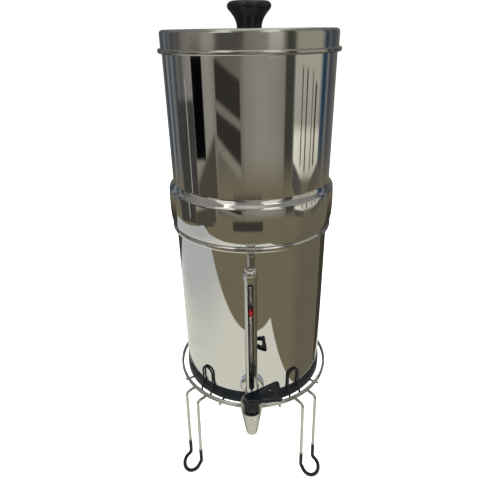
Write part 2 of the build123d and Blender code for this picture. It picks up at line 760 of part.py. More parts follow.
# Lever: round hub that sits in the cup, and a flat paddle with a finger window.
lever_angle = radians(lever_turn)
lever_plane = Plane(
    origin=(0, -spout_y, lever_foot_z),
    x_dir=(cos(lever_angle), sin(lever_angle), 0),
    z_dir=(0, 0, 1),
)
with BuildPart() as lever:
    with BuildSketch(lever_plane.offset(lever_top_z - lever_foot_z - lever_thickness)):
        Circle(lever_hub_radius)
        with Locations((0, lever_back_cut + lever_hub_radius)):
            Rectangle(2 * lever_hub_radius, 2 * lever_hub_radius, mode=Mode.SUBTRACT)
        with Locations(
            (lever_reach - lever_corner, lever_end_back - lever_corner),
            (lever_reach_front - lever_corner, lever_corner - lever_end_front),
        ):
            Circle(lever_corner)
        make_hull()
    extrude(amount=lever_thickness)
    fillet(lever.edges().group_by(Axis.Z)[-1], lever_edge)
    with BuildSketch(lever_plane):
        Circle(lever_hub_radius)
    extrude(amount=lever_top_z - lever_foot_z - lever_thickness)
    with BuildSketch(lever_plane) as window:
        with BuildLine():
            Polyline(
                (lever_window_start, -lever_window_front),
                (lever_window_end, -lever_window_front),
                (lever_window_end, lever_window_back[1]),
                (lever_window_start, lever_window_back[0]),
                close=True,
            )
        make_face()
        fillet(window.vertices(), lever_corner / 2)
    extrude(amount=lever_height, mode=Mode.SUBTRACT)
    with BuildSketch(lever_plane):
        Rectangle(valve_square + 2 * thread_fit, valve_square + 2 * thread_fit)
    extrude(amount=valve_square_height, mode=Mode.SUBTRACT)
    with BuildSketch(Plane.XZ.offset(spout_y + lever_hub_radius)):
        with Locations((0, lever_foot_z + dimple_height)):
            Circle(dimple_radius)
    extrude(amount=-dimple_radius, mode=Mode.SUBTRACT)
lever.part.label = "lever"
export_step(lever.part, "parts/lever.step")

# Valve plug under the lever: its side port faces the arm when the lever points forward.
seal_z = (tap_z + inlet_radius + ledge_z) / 2
seal_groove = 2 * seal_section
with BuildPart() as valve_plug:
    with BuildSketch(Plane.XY.offset(plug_foot_z + rest_gap)):
        with Locations((0, -spout_y)):
            Circle(valve_radius)
    extrude(amount=ledge_z - plug_foot_z - rest_gap)
    with BuildSketch(lever_plane):
        Rectangle(valve_square, valve_square)
    extrude(amount=valve_square_height)
    with BuildSketch(lever_plane):
        Rectangle(valve_square, valve_square)
    extrude(amount=-rest_gap)
    with BuildSketch(Plane.XZ.offset(spout_y)):
        with Locations((valve_radius, seal_z)):
            Rectangle(2 * seal_groove, 2 * seal_section)
    revolve(axis=spout_axis, mode=Mode.SUBTRACT)
    with BuildSketch(Plane.XY.offset(plug_foot_z)):
        with Locations((0, -spout_y)):
            Circle(inlet_radius)
    extrude(amount=tap_z - plug_foot_z, mode=Mode.SUBTRACT)
    with BuildSketch(
        Plane(origin=(0, -spout_y, tap_z), x_dir=(0, 0, 1), z_dir=(-cos(lever_angle), -sin(lever_angle), 0))
    ):
        Circle(inlet_radius)
    extrude(amount=2 * valve_radius, mode=Mode.SUBTRACT)
valve_plug.part.label = "valve_plug"
export_step(valve_plug.part, "parts/valve_plug.step")

with BuildPart() as valve_seal:
    with BuildSketch(Plane.XZ.offset(spout_y)):
        with Locations((valve_radius - seal_section, seal_z)):
            Circle(seal_section)
    revolve(axis=spout_axis)
valve_seal.part.label = "valve_seal"
export_step(valve_seal.part, "parts/valve_seal.step")

# ======================================================================= sight tube =====
guard_foot_z = tap_z + guard_foot
guard_top_z = guard_foot_z + guard_length
guard_bore = guard_radius - guard_wall
slot_foot_z = tap_z + slot_foot
slot_length = guard_top_z - slot_head - slot_foot_z

# Chromed guard tube with a long slot facing forward.
with BuildPart() as sight_guard:
    with BuildSketch(Plane.XY.offset(guard_foot_z)):
        with Locations((0, -sight_y)):
            Circle(guard_radius)
            Circle(guard_bore, mode=Mode.SUBTRACT)
    extrude(amount=guard_length)
    with BuildSketch(Plane.XZ.offset(sight_y)):
        with Locations((0, slot_foot_z + slot_length / 2)):
            SlotOverall(slot_length, slot_width, rotation=90)
    extrude(amount=2 * guard_radius, mode=Mode.SUBTRACT)
sight_guard.part.label = "sight_guard"
export_step(sight_guard.part, "parts/sight_guard.step")

with BuildPart() as sight_glass:
    with BuildSketch(Plane.XY.offset(guard_foot_z + glass_inset)):
        with Locations((0, -sight_y)):
            Circle(glass_radius)
            Circle(glass_radius - glass_wall, mode=Mode.SUBTRACT)
    extrude(amount=guard_length - 2 * glass_inset)
sight_glass.part.label = "sight_glass"
export_step(sight_glass.part, "parts/sight_glass.step")

# Rubber sleeves hold the glass at its lower and upper ends.
with BuildPart() as sight_lower_seal:
    with BuildSketch(Plane.XY.offset(guard_foot_z)):
        with Locations((0, -sight_y)):
            Circle(guard_bore)
            Circle(glass_radius, mode=Mode.SUBTRACT)
    extrude(amount=lower_seal_length)
sight_lower_seal.part.label = "sight_lower_seal"
export_step(sight_lower_seal.part, "parts/sight_lower_seal.step")

with BuildPart() as sight_upper_seal:
    with BuildSketch(Plane.XY.offset(guard_top_z)):
        with Locations((0, -sight_y)):
            Circle(guard_bore)
            Circle(glass_radius, mode=Mode.SUBTRACT)
    extrude(amount=-upper_seal_length)
sight_upper_seal.part.label = "sight_upper_seal"
export_step(sight_upper_seal.part, "parts/sight_upper_seal.step")

# Domed cap pressed over the guard's upper end, with a finger groove.
cap_foot_height = guard_top_z - cap_overlap
with BuildPart() as sight_cap:
    with BuildSketch(Plane.XY.offset(cap_foot_height)):
        with Locations((0, -sight_y)):
            Circle(cap_radius)
    extrude(amount=cap_height)
    fillet(sight_cap.edges().group_by(Axis.Z)[-1], cap_radius / 2)
    with BuildSketch(Plane.XY.offset(cap_foot_height)):
        with Locations((0, -sight_y)):
            Circle(guard_radius + thread_fit)
    extrude(amount=cap_overlap, mode=Mode.SUBTRACT)
    with BuildSketch(Plane.XZ.offset(sight_y)):
        with Locations((cap_radius, cap_foot_height + cap_height / 2)):
            Rectangle(2 * cap_groove, cap_groove)
    revolve(axis=Axis((0, -sight_y, 0), (0, 0, 1)), mode=Mode.SUBTRACT)
sight_cap.part.label = "sight_cap"
export_step(sight_cap.part, "parts/sight_cap.step")

# Red float that rides on the water inside the glass.
with BuildPart() as level_float:
    with BuildSketch(Plane.XY.offset(tap_z + float_level - float_height / 2)):
        with Locations((0, -sight_y)):
            Circle(float_radius)
    extrude(amount=float_height)
    fillet(level_float.edges().filter_by(GeomType.CIRCLE), float_radius / 3)
level_float.part.label = "level_float"
export_step(level_float.part, "parts/level_float.step")
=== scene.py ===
import math

import bmesh
import bpy
from mathutils import Matrix, Vector


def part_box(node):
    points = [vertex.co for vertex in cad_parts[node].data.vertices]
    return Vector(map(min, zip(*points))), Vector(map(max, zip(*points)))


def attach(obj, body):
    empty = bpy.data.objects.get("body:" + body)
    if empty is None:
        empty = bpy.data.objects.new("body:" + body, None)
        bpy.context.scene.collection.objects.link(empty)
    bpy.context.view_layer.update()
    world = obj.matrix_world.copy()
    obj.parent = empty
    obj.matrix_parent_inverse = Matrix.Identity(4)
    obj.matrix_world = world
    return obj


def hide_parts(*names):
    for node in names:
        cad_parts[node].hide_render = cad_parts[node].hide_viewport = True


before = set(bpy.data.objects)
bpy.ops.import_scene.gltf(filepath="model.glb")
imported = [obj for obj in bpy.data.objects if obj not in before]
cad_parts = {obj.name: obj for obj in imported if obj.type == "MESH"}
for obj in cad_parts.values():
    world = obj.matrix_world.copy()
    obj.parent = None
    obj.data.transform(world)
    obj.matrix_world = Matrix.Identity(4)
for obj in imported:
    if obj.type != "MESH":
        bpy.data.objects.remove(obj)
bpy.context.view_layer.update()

# ============================================================================ camera ====
# It stands a little to the right of the tap, level with the lid, and looks down at the
# vessel's middle.
bpy.ops.object.select_all(action="DESELECT")
camera_turn, camera_out, camera_up = math.radians(1.0), 0.6032, 0.6457
camera_dip, camera_swing, camera_roll = math.radians(26.28), 0.0047, -0.0136
camera_place = Matrix.Rotation(camera_turn, 3, "Z") @ Vector((0, -camera_out, camera_up))
bpy.ops.object.camera_add(location=camera_place)
camera = bpy.context.object
camera.name = "camera"
camera.data.lens = 31.86
camera.data.sensor_width = 36
camera.data.clip_start = 0.02
camera.rotation_euler = (
    Matrix.Rotation(camera_turn + camera_swing, 3, "Z")
    @ Matrix.Rotation(math.pi / 2 - camera_dip, 3, "X")
    @ Matrix.Rotation(camera_roll, 3, "Z")
).to_euler()
bpy.context.scene.camera = camera
bpy.context.scene.view_settings.view_transform = "Standard"

# ============================================================================ studio ====
# A plain pale floor, even white surroundings and large soft lamps. What bright metal
# mirrors is a dim room with tall pale and dark bays, and a cream worktop under the object.


def node(tree, kind, feed=None, **settings):
    """Add a shader node. Its feed maps inputs to plain values or to other nodes' outputs."""
    made = tree.nodes.new("ShaderNode" + kind)
    for label, value in settings.items():
        setattr(made, label, value)
    for label, value in (feed or {}).items():
        if isinstance(value, bpy.types.NodeSocket):
            tree.links.new(value, made.inputs[label])
        else:
            made.inputs[label].default_value = value
    return made


def maths(tree, operation, *terms, **settings):
    """One step of arithmetic on sockets and plain numbers."""
    return node(tree, "Math", dict(enumerate(terms)), operation=operation, **settings).outputs[0]


def ranged(tree, value, start, end, curve="SMOOTHSTEP"):
    """Go from 0 to 1 while a value goes from start to end."""
    feed = {"Value": value, "From Min": start, "From Max": end}
    return node(tree, "MapRange", feed, interpolation_type=curve).outputs["Result"]


def mixed(tree, share, first, second):
    """Blend two colours, each of them a socket or three plain numbers."""
    first, second = ((*tone, 1) if isinstance(tone, (tuple, list)) else tone for tone in (first, second))
    feed = {"Factor": share, "A": first, "B": second}
    return node(tree, "Mix", feed, data_type="RGBA").outputs["Result"]


def paint(name, **values):
    """A new material; gives its node tree and its Principled shader with plain values set."""
    made = bpy.data.materials.new(name)
    made.use_nodes = True
    shader = made.node_tree.nodes["Principled BSDF"]
    for label, value in values.items():
        shader.inputs[label.replace("_", " ")].default_value = value
    return made, made.node_tree, shader


def wired(tree, target, **sockets):
    """Link sockets to the inputs of a node that have their names."""
    for label, socket in sockets.items():
        tree.links.new(socket, target.inputs[label.replace("_", " ")])


bpy.ops.mesh.primitive_plane_add(size=16, location=(0, 0, 0))
floor = bpy.context.object
floor.name = "studio_floor"
floor.visible_glossy = False
floor_paint, tree, shader = paint(
    "floor_paint",
    Base_Color=(0.86, 0.86, 0.855, 1),
    Roughness=0.8,
    Emission_Color=(1, 1, 1, 1),
    Emission_Strength=0.62,
)
floor.data.materials.append(floor_paint)

worktop_left, worktop_right, worktop_front, worktop_back = -1.0, 0.237, -0.475, 0.55
worktop_z = 0.0004
bpy.ops.mesh.primitive_plane_add(
    size=1,
    location=((worktop_right + worktop_left) / 2, (worktop_back + worktop_front) / 2, worktop_z),
)
worktop = bpy.context.object
worktop.name = "studio_worktop"
worktop.scale = (worktop_right - worktop_left, worktop_back - worktop_front, 1)
bpy.ops.object.transform_apply()
worktop.visible_camera = False
worktop.visible_diffuse = False
worktop.visible_shadow = False
worktop.visible_transmission = False
worktop_glow, tree, shader = paint(
    "worktop_glow", Base_Color=(0, 0, 0, 1), Roughness=1.0, Emission_Strength=1.0
)
shaded_cream, sunlit_cream = (0.50, 0.515, 0.52), (0.72, 0.72, 0.64)
across = node(tree, "SeparateXYZ", {0: node(tree, "TexCoord").outputs["Object"]}).outputs["X"]
glow = mixed(tree, ranged(tree, across, -0.72, -0.24), shaded_cream, sunlit_cream)
wired(tree, shader, Emission_Color=glow)
worktop.data.materials.append(worktop_glow)

# The room is painted on the world by bearing, in degrees to the right of the tap's side,
# and by rise above the horizon.
room = bpy.data.worlds.new("dim_room")
bpy.context.scene.world = room
room.use_nodes = True
tree = room.node_tree
tree.nodes.clear()
to_degrees = 360 / math.tau
facing = node(tree, "SeparateXYZ", {0: node(tree, "TexCoord").outputs["Generated"]}).outputs
turn = maths(tree, "ARCTAN2", facing["X"], maths(tree, "MULTIPLY", facing["Y"], -1.0))
bearing = maths(tree, "MULTIPLY", turn, to_degrees)
rise = maths(tree, "MULTIPLY", maths(tree, "ARCSINE", facing["Z"]), to_degrees)
bays = node(tree, "ValToRGB", {"Fac": maths(tree, "MULTIPLY_ADD", turn, 1 / math.tau, 0.5)})
bay_tones = (
    (-180, 0.20, 0.19, 0.17), (-150, 0.12, 0.12, 0.12), (-140, 0.03, 0.05, 0.08),
    (-133, 0.26, 0.27, 0.27), (-126, 0.05, 0.07, 0.10), (-118, 0.20, 0.20, 0.19),
    (-111, 0.05, 0.06, 0.08), (-104, 0.16, 0.155, 0.145), (-98, 0.09, 0.09, 0.09),
    (-91, 0.22, 0.215, 0.20), (-78, 0.30, 0.29, 0.26), (-61, 0.28, 0.27, 0.24),
    (-53, 0.31, 0.295, 0.26), (-46, 0.24, 0.225, 0.19), (-43, 0.14, 0.13, 0.11),
    (-12, 0.16, 0.148, 0.122), (-6, 0.25, 0.235, 0.20), (14, 0.31, 0.29, 0.25),
    (36, 0.29, 0.27, 0.235), (45.5, 0.24, 0.225, 0.195), (47.5, 0.050, 0.055, 0.044),
    (58, 0.054, 0.058, 0.047), (60, 0.24, 0.235, 0.20), (103, 0.16, 0.16, 0.15),
    (106, 0.30, 0.31, 0.31), (109, 0.02, 0.05, 0.09), (117, 0.03, 0.06, 0.10),
    (120, 0.22, 0.22, 0.21), (127, 0.05, 0.06, 0.08), (150, 0.15, 0.145, 0.13),
    (180, 0.20, 0.19, 0.17),
)
ramp = bays.color_ramp
ramp.elements.remove(ramp.elements[1])
for place, *tone in bay_tones:
    along = place / 360 + 0.5
    stop = ramp.elements[0] if place == -180 else ramp.elements.new(along)
    stop.position = along
    stop.color = (*tone, 1)

wainscot, ceiling = ranged(tree, rise, -13.0, -20.0), ranged(tree, rise, 8.0, 48.0)
walls = mixed(tree, wainscot, bays.outputs["Color"], (0.190, 0.165, 0.110))
walls = mixed(tree, ceiling, walls, (0.27, 0.265, 0.25))
sofa_dark, sofa_seam, window_bright = (0.036, 0.033, 0.029), (0.20, 0.19, 0.155), (0.85, 0.84, 0.78)
corner_dark, skirting_dark, lamp_tone = (0.085, 0.083, 0.075), (0.050, 0.043, 0.034), (1.6, 1.57, 1.48)
# Furniture, windows and small lights: from bearing, to bearing, lowest, highest, tone,
# softness, and how far the top and bottom fall in each degree of bearing.
for left, right, low, high, tone, soft, fall in (
    (-44, -12, -14.2, -4.0, sofa_dark, 0.8, 0.08),
    (-44, -12, -9.9, -8.7, sofa_seam, 0.7, 0.08),
    (-44, -12, -15.4, -13.8, (0.24, 0.225, 0.18), 1.0, 0.12),
    (-110, -79, -23.0, -7.4, (0.058, 0.057, 0.053), 0.8, 0.0),
    (-92, -90.4, -21.0, -5.0, (0.42, 0.41, 0.38), 0.6, 0.0),
    (-78.5, -62, -14.6, -2.2, (0.0020, 0.0020, 0.0030), 0.8, 0.0),
    (-78, -47, -24.0, -14.6, (0.080, 0.070, 0.056), 2.0, -0.2),
    (-60, -42, -2.2, 14.0, (0.42, 0.41, 0.385), 1.5, 0.0),
    (-38, -6, -2.2, 14.0, (0.09, 0.087, 0.083), 1.5, 0.0),
    (24, 42, -2.2, 14.0, (0.62, 0.61, 0.58), 1.5, 0.0),
    (60.5, 104, -16.8, 24.0, (0.42, 0.41, 0.35), 1.2, 0.0),
    (60.5, 106, -16.8, -11.0, (0.85, 0.83, 0.72), 2.0, 0.0),
    (60, 76, -19.5, -16.2, corner_dark, 0.8, 0.175),
    (88, 108, -19.5, -16.2, corner_dark, 0.8, -0.15),
    (71.3, 73.0, -15.6, -3.8, (0.05, 0.05, 0.05), 0.7, 0.0),
    (78.6, 80.6, -16.2, -4.0, (0.03, 0.03, 0.03), 0.7, 0.0),
    (88.6, 90.6, -16.0, -4.2, (0.16, 0.16, 0.14), 0.7, 0.0),
    (94.6, 97.4, -15.4, -5.6, (0.02, 0.02, 0.02), 0.8, 0.0),
    (-24, 16, -25.5, -19.5, (0.050, 0.047, 0.042), 2.5, 0.0),
    (72, 140, -60.0, -17.5, (0.150, 0.134, 0.096), 24.0, 0.0),
    (-176, -128, -60.0, -19.0, skirting_dark, 6.0, 0.0),
    (132, 176, -60.0, -19.0, skirting_dark, 6.0, 0.0),
    (-50, -22, 8.0, 40.0, window_bright, 6.0, 0.0),
    (16, 40, 8.0, 40.0, window_bright, 6.0, 0.0),
    (-195, 195, 62.0, 100.0, (0.80, 0.79, 0.75), 14.0, 0.0),
    (-52, -30, 44.0, 58.0, lamp_tone, 3.0, 0.0),
    (22, 50, 40.0, 52.0, lamp_tone, 3.0, 0.0),
    (150, 176, 42.0, 60.0, (1.5, 1.47, 1.4), 3.0, 0.0),
):
    half, middle = soft / 2, (left + right) / 2
    leaning = maths(tree, "ADD", rise, maths(tree, "MULTIPLY_ADD", bearing, fall, -fall * middle))
    pane = ranged(tree, bearing, left - half, left + half)
    for value, start, end in (
        (bearing, right + half, right - half),
        (leaning, low - half, low + half),
        (leaning, high + half, high - half),
    ):
        pane = maths(tree, "MULTIPLY", pane, ranged(tree, value, start, end))
    walls = mixed(tree, pane, walls, tone)
mirrored = node(tree, "Background", {"Color": walls})
fill = node(tree, "Background", {"Color": (1, 0.995, 0.98, 1), "Strength": 0.62})
white = node(tree, "Background", {"Color": (1, 1, 1, 1), "Strength": 1.05})
ray = node(tree, "LightPath").outputs
lit = node(tree, "MixShader", {0: ray["Is Diffuse Ray"], 1: mirrored.outputs[0], 2: fill.outputs[0]})
seen = node(tree, "MixShader", {0: ray["Is Camera Ray"], 1: lit.outputs[0], 2: white.outputs[0]})
node(tree, "OutputWorld", {"Surface": seen.outputs[0]})

lit_spot = Vector((0, 0, 0.35))
for name, place, size, power in (
    ("lamp_left", (-1.3, -1.2, 2.0), 1.1, 34),
    ("lamp_right", (1.5, -0.7, 1.8), 0.9, 20),
    ("lamp_back", (0.2, 1.6, 2.1), 1.4, 26),
):
    bpy.ops.object.light_add(type="AREA", location=place)
    lamp = bpy.context.object
    lamp.name = name
    lamp.data.shape = "DISK"
    lamp.data.size = size
    lamp.data.energy = power
    lamp.data.color = (1.0, 0.985, 0.955)
    lamp.visible_glossy = False
    lamp.visible_transmission = False
    lamp.rotation_euler = (lit_spot - Vector(place)).to_track_quat("-Z", "Y").to_euler()

# ===================================================================== lower chamber ====
# A deep can drawn in one piece from 1 mm stainless sheet and polished to a mirror. Its top
# edge is rolled outwards over a wire, and one hole near the foot takes the tap's shank.


def picked(*pieces):
    """Select only these pieces and make the last one active."""
    bpy.ops.object.select_all(action="DESELECT")
    for piece in pieces:
        piece.select_set(True)
        bpy.context.view_layer.objects.active = piece


def mark(piece, kind, wanted):
    """In edit mode, select the vertices, edges or faces that a test picks by their place."""
    bpy.ops.mesh.select_mode(type=kind)
    bpy.ops.mesh.select_all(action="DESELECT")
    shape = bmesh.from_edit_mesh(piece.data)
    for item in {"VERT": shape.verts, "EDGE": shape.edges, "FACE": shape.faces}[kind]:
        if wanted(item):
            item.select_set(True)
    if kind == "VERT":
        shape.select_flush(True)
    bmesh.update_edit_mesh(piece.data)


def drawn(name, outline, place):
    """Start a piece as one line in the XZ plane: points across, up, and a bend's reach, in mm.

    Only an inner point can be bent, so a closed outline starts and ends in the middle of a run.
    """
    bpy.ops.object.select_all(action="DESELECT")
    bpy.ops.mesh.primitive_plane_add(size=0.0001)
    piece = bpy.context.object
    piece.name = piece.data.name = name
    bpy.ops.object.mode_set(mode="EDIT")
    bpy.ops.mesh.select_mode(type="VERT")
    bpy.ops.mesh.merge(type="CENTER")
    spots = [Vector(place) + Vector((point[0] / 1000, 0, point[1] / 1000)) for point in outline]
    bpy.ops.transform.translate(value=spots[0])
    for here, there in zip(spots, spots[1:]):
        bpy.ops.mesh.extrude_vertices_move(TRANSFORM_OT_translate={"value": there - here})
    for point, spot in zip(outline, spots):
        if len(point) > 2:
            mark(piece, "VERT", lambda vertex: (vertex.co - spot).length < 1e-6)
            bpy.ops.mesh.bevel(affect="VERTICES", offset=point[2] / 1000, segments=6, profile=0.5)
    mark(piece, "VERT", lambda vertex: True)
    return piece


def closed(piece):
    """Merge what meets, turn all faces outwards and leave edit mode."""
    bpy.ops.mesh.select_all(action="SELECT")
    bpy.ops.mesh.remove_doubles(threshold=5e-6)
    bpy.ops.mesh.normals_make_consistent(inside=False)
    bpy.ops.object.mode_set(mode="OBJECT")
    return piece


def turned(name, outline, place=(0, 0, 0), steps=64):
    """Spin an outline about the upright axis through place."""
    piece = drawn(name, outline, place)
    bpy.ops.mesh.spin(steps=steps, angle=-math.tau, center=place, axis=(0, 0, 1))
    return closed(piece)


def bar(name, radius, length, place, turn=(0, 0, 0), sides=48):
    """A plain round bar used only to cut a hole in another piece."""
    bpy.ops.object.select_all(action="DESELECT")
    bpy.ops.mesh.primitive_cylinder_add(
        vertices=sides, radius=radius, depth=length, location=place, rotation=turn
    )
    bpy.context.object.name = name
    return bpy.context.object


def combine(piece, other, operation):
    """Cut another shape out of a piece, or join it on, and take the other away."""
    bpy.context.view_layer.objects.active = piece
    work = piece.modifiers.new("combine", "BOOLEAN")
    work.operation = operation
    work.solver = "EXACT"
    work.object = other
    bpy.ops.object.modifier_apply(modifier=work.name)
    bpy.data.meshes.remove(other.data)


def rounded(piece, width, segments, angle):
    """Break a piece's sharp edges, as a stamping's or a moulding's are."""
    bpy.context.view_layer.objects.active = piece
    edge = piece.modifiers.new("broken_edges", "BEVEL")
    edge.width = width / 1000
    edge.segments = segments
    edge.limit_method = "ANGLE"
    edge.angle_limit = math.radians(angle)
    edge.harden_normals = False
    bpy.ops.object.modifier_apply(modifier=edge.name)


def finished(piece, body, material, slot, *nodes, smooth=38):
    """Smooth a piece up to its sharp edges, give it its finish, and let it ride for its nodes."""
    picked(piece)
    bpy.ops.object.shade_smooth_by_angle(angle=math.radians(smooth))
    even = piece.modifiers.new("even_shading", "WEIGHTED_NORMAL")
    even.keep_sharp = True
    bpy.ops.object.modifier_apply(modifier=even.name)
    piece.data.materials.clear()
    piece.data.materials.append(material)
    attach(piece, body)
    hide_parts(*nodes)


def effect(name, inputs, outputs):
    """An empty shader node group with its number inputs and its outputs named."""
    group = bpy.data.node_groups.new(name, "ShaderNodeTree")
    number = {"socket_type": "NodeSocketFloat"}
    for label, value in inputs.items():
        group.interface.new_socket(label, in_out="INPUT", **number).default_value = value
    for label in outputs:
        group.interface.new_socket(label, in_out="OUTPUT", **number)
    return group, group.nodes.new("NodeGroupInput").outputs, group.nodes.new("NodeGroupOutput")


def placed(tree, group, **values):
    """Place a node group in a material with its own values."""
    made = tree.nodes.new("ShaderNodeGroup")
    made.node_tree = group
    for label, value in values.items():
        made.inputs[label.replace("_", " ")].default_value = value
    return made.outputs


def scaled(tree, spot, size):
    """Coordinates multiplied by one number, so that a pattern gets finer."""
    return node(tree, "VectorMath", {0: spot, "Scale": size}, operation="SCALE").outputs[0]


def noise(tree, spot, scale, detail, roughness=0.5, distortion=0.0):
    """Soft random patches with values from 0 to 1."""
    feed = {"Vector": spot, "Scale": scale, "Detail": detail}
    feed.update({"Roughness": roughness, "Distortion": distortion})
    return node(tree, "TexNoise", feed).outputs["Fac"]


def bumped(tree, height, strength, distance, under=None):
    """Turn a height into a shading normal, on top of another normal if one is given."""
    feed = {"Height": height, "Strength": strength, "Distance": distance}
    if under is not None:
        feed["Normal"] = under
    return node(tree, "Bump", feed).outputs[0]


# Polishing leaves fine streaks along the height; handling leaves faint smudges and prints.
polish, given, result = effect(
    "polish_and_handling", {"Streak Size": 1.0, "Smudge Size": 1.0}, ("Streaks", "Smudges", "Ripple")
)
spot = node(polish, "TexCoord").outputs["Object"]
narrow = node(polish, "VectorMath", {0: spot, 1: (420, 420, 9)}, operation="MULTIPLY").outputs[0]
streaks = noise(polish, scaled(polish, narrow, given["Streak Size"]), 1.0, 4.0, 0.65)
smudges = noise(polish, scaled(polish, spot, given["Smudge Size"]), 17.0, 6.0, 0.62, 0.6)
wired(
    polish,
    result,
    Streaks=streaks,
    Smudges=ranged(polish, smudges, 0.52, 0.74),
    Ripple=noise(polish, spot, 26.0, 1.0),
)

# Corners that are rubbed lose some of their finish. On the lever, the same pale edges are also a painted
# highlight.
rub_and_sheen, given, result = effect("edge_rub_and_sheen", {"Reach": 0.0008, "Amount": 1.0}, ("Rub",))
softened = node(rub_and_sheen, "Bevel", {"Radius": given["Reach"]}, samples=4).outputs[0]
flat = node(rub_and_sheen, "NewGeometry").outputs["Normal"]
aligned = node(rub_and_sheen, "VectorMath", {0: softened, 1: flat}, operation="DOT_PRODUCT").outputs["Value"]
corner = ranged(rub_and_sheen, aligned, 0.995, 0.86, "LINEAR")
patchy = noise(rub_and_sheen, node(rub_and_sheen, "TexCoord").outputs["Object"], 160.0, 3.0)
worn_and_sheen = maths(rub_and_sheen, "MULTIPLY", corner, ranged(rub_and_sheen, patchy, 0.38, 0.62, "LINEAR"))
wired(rub_and_sheen, result, Rub=maths(rub_and_sheen, "MULTIPLY", worn_and_sheen, given["Amount"], use_clamp=True))


def polished(name, tone, mirror, streak_size=1.0, smudge_size=1.0, ripple=0.05, hazy=1.0, **plain):
    """Bright metal: tone is its colour, mirror its roughness where it is clean."""
    made, tree, shader = paint(name, Metallic=1.0, IOR=2.5, **plain)
    marks = placed(tree, polish, Streak_Size=streak_size, Smudge_Size=smudge_size)
    worn_and_sheen = placed(tree, rub_and_sheen, Reach=0.0009, Amount=0.8)["Rub"]
    dull, bare = tuple(part * 0.90 for part in tone), (0.86, 0.85, 0.83)
    rough = maths(tree, "MULTIPLY_ADD", marks["Streaks"], 0.05 * hazy, mirror - 0.02 * hazy)
    rough = maths(tree, "MULTIPLY_ADD", marks["Smudges"], 0.055 * hazy, rough)
    fine = bumped(tree, marks["Streaks"], 0.022 * hazy, 0.0001)
    wired(
        tree,
        shader,
        Base_Color=mixed(tree, worn_and_sheen, mixed(tree, marks["Smudges"], tone, dull), bare),
        Roughness=maths(tree, "MULTIPLY_ADD", worn_and_sheen, 0.12, rough),
        Normal=bumped(tree, marks["Ripple"], ripple, 0.001, fine),
    )
    return made


vessel_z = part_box("base_ring")[0].z
tap_low, tap_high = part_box("tap_outer_washer")
tap_z = (tap_low.z + tap_high.z) / 2
tap_rise = (tap_z - vessel_z) * 1000
chamber, sheet = 108.0, 1.0
inside = chamber - sheet
disc, step, step_up = 84.0, 86.0, 0.6
floor_up, rim_up, roll = 5.0, 260.0, 8.0
rim = chamber + 5.0
# A row of points below and above the hole keeps its facets off the long wall.
hole_reach = 13.0
lower_chamber = turned(
    "lower_chamber_shell",
    (
        (0, floor_up), (disc, floor_up), (step, floor_up + step_up, 1), (chamber, floor_up, 6),
        (chamber, tap_rise - hole_reach), (chamber, tap_rise + hole_reach), (chamber, rim_up - roll),
        (rim, rim_up - roll, 2.8), (rim, rim_up, 2.9), (inside, rim_up, 2.9),
        (inside, tap_rise + hole_reach), (inside, tap_rise - hole_reach), (inside, floor_up + 1.2, 5),
        (step, floor_up + step_up + sheet, 1), (disc, floor_up + sheet), (0, floor_up + sheet),
    ),
    (0, 0, vessel_z),
    steps=144,
)
wall_middle = -(chamber + inside) / 2000
tap_hole = bar("tap_hole", 0.0082, 0.02, (0, wall_middle, tap_z), (math.pi / 2, 0, 0))
combine(lower_chamber, tap_hole, "DIFFERENCE")
mirror_steel = polished("mirror_steel", (0.755, 0.745, 0.72), 0.03, ripple=0.03, hazy=0.8)
finished(lower_chamber, "lower_vessel", mirror_steel, "polished_steel", "lower_chamber", smooth=30)

# ========================================================================= base ring ====
# A black rubber ring stretched round the chamber's foot, with a slimmer band on top and a
# lip turned in under the floor. It grips the stand and keeps the steel off the worktop.

# A mould leaves fine pimples, and the colour clouds a little.
grain, given, result = effect("moulded_grain", {"Size": 1.0}, ("Height", "Patches"))
close = scaled(grain, node(grain, "TexCoord").outputs["Object"], given["Size"])
pimples = node(grain, "TexVoronoi", {"Vector": close, "Scale": 2600.0}, feature="SMOOTH_F1")
soft = noise(grain, close, 900.0, 3.0)
wired(
    grain,
    result,
    Height=maths(grain, "MULTIPLY_ADD", pimples.outputs["Distance"], 0.6, soft),
    Patches=noise(grain, close, 38.0, 4.0, 0.6),
)

# Dust settles in specks on what faces up.
dust, given, result = effect("settled_dust", {"Amount": 1.0}, ("Dust",))
up = node(dust, "SeparateXYZ", {0: node(dust, "NewGeometry").outputs["Normal"]}).outputs["Z"]
specks = noise(dust, node(dust, "TexCoord").outputs["Object"], 420.0, 6.0, 0.7)
loose = ranged(dust, specks, 0.48, 0.78, "LINEAR")
lying = maths(dust, "MULTIPLY", ranged(dust, up, 0.25, 1.0, "LINEAR"), loose)
wired(dust, result, Dust=maths(dust, "MULTIPLY", lying, given["Amount"], use_clamp=True))


def moulded(name, tone, pale, rough, bump, dusty, rubbed_and_sheen=0.7, grain_size=1.0, **plain):
    """Rubber, vinyl or plastic: tone in the mass, pale where its edges are rubbed or dusty. On the
    lever, the pale edges are also a painted highlight.
    """
    made, tree, shader = paint(name, **plain)
    skin = placed(tree, grain, Size=grain_size)
    worn_and_sheen = placed(tree, rub_and_sheen, Reach=0.0007, Amount=rubbed_and_sheen)["Rub"]
    film = placed(tree, dust, Amount=dusty)["Dust"]
    lighter = tuple(part * 1.35 for part in tone)
    tint = mixed(tree, worn_and_sheen, mixed(tree, skin["Patches"], tone, lighter), pale)
    gloss = maths(tree, "MULTIPLY_ADD", skin["Patches"], 0.16, rough - 0.08)
    wired(
        tree,
        shader,
        Base_Color=mixed(tree, film, tint, pale),
        Roughness=maths(tree, "MULTIPLY_ADD", film, 0.3, gloss),
        Normal=bumped(tree, skin["Height"], bump, 0.0001),
    )
    return made


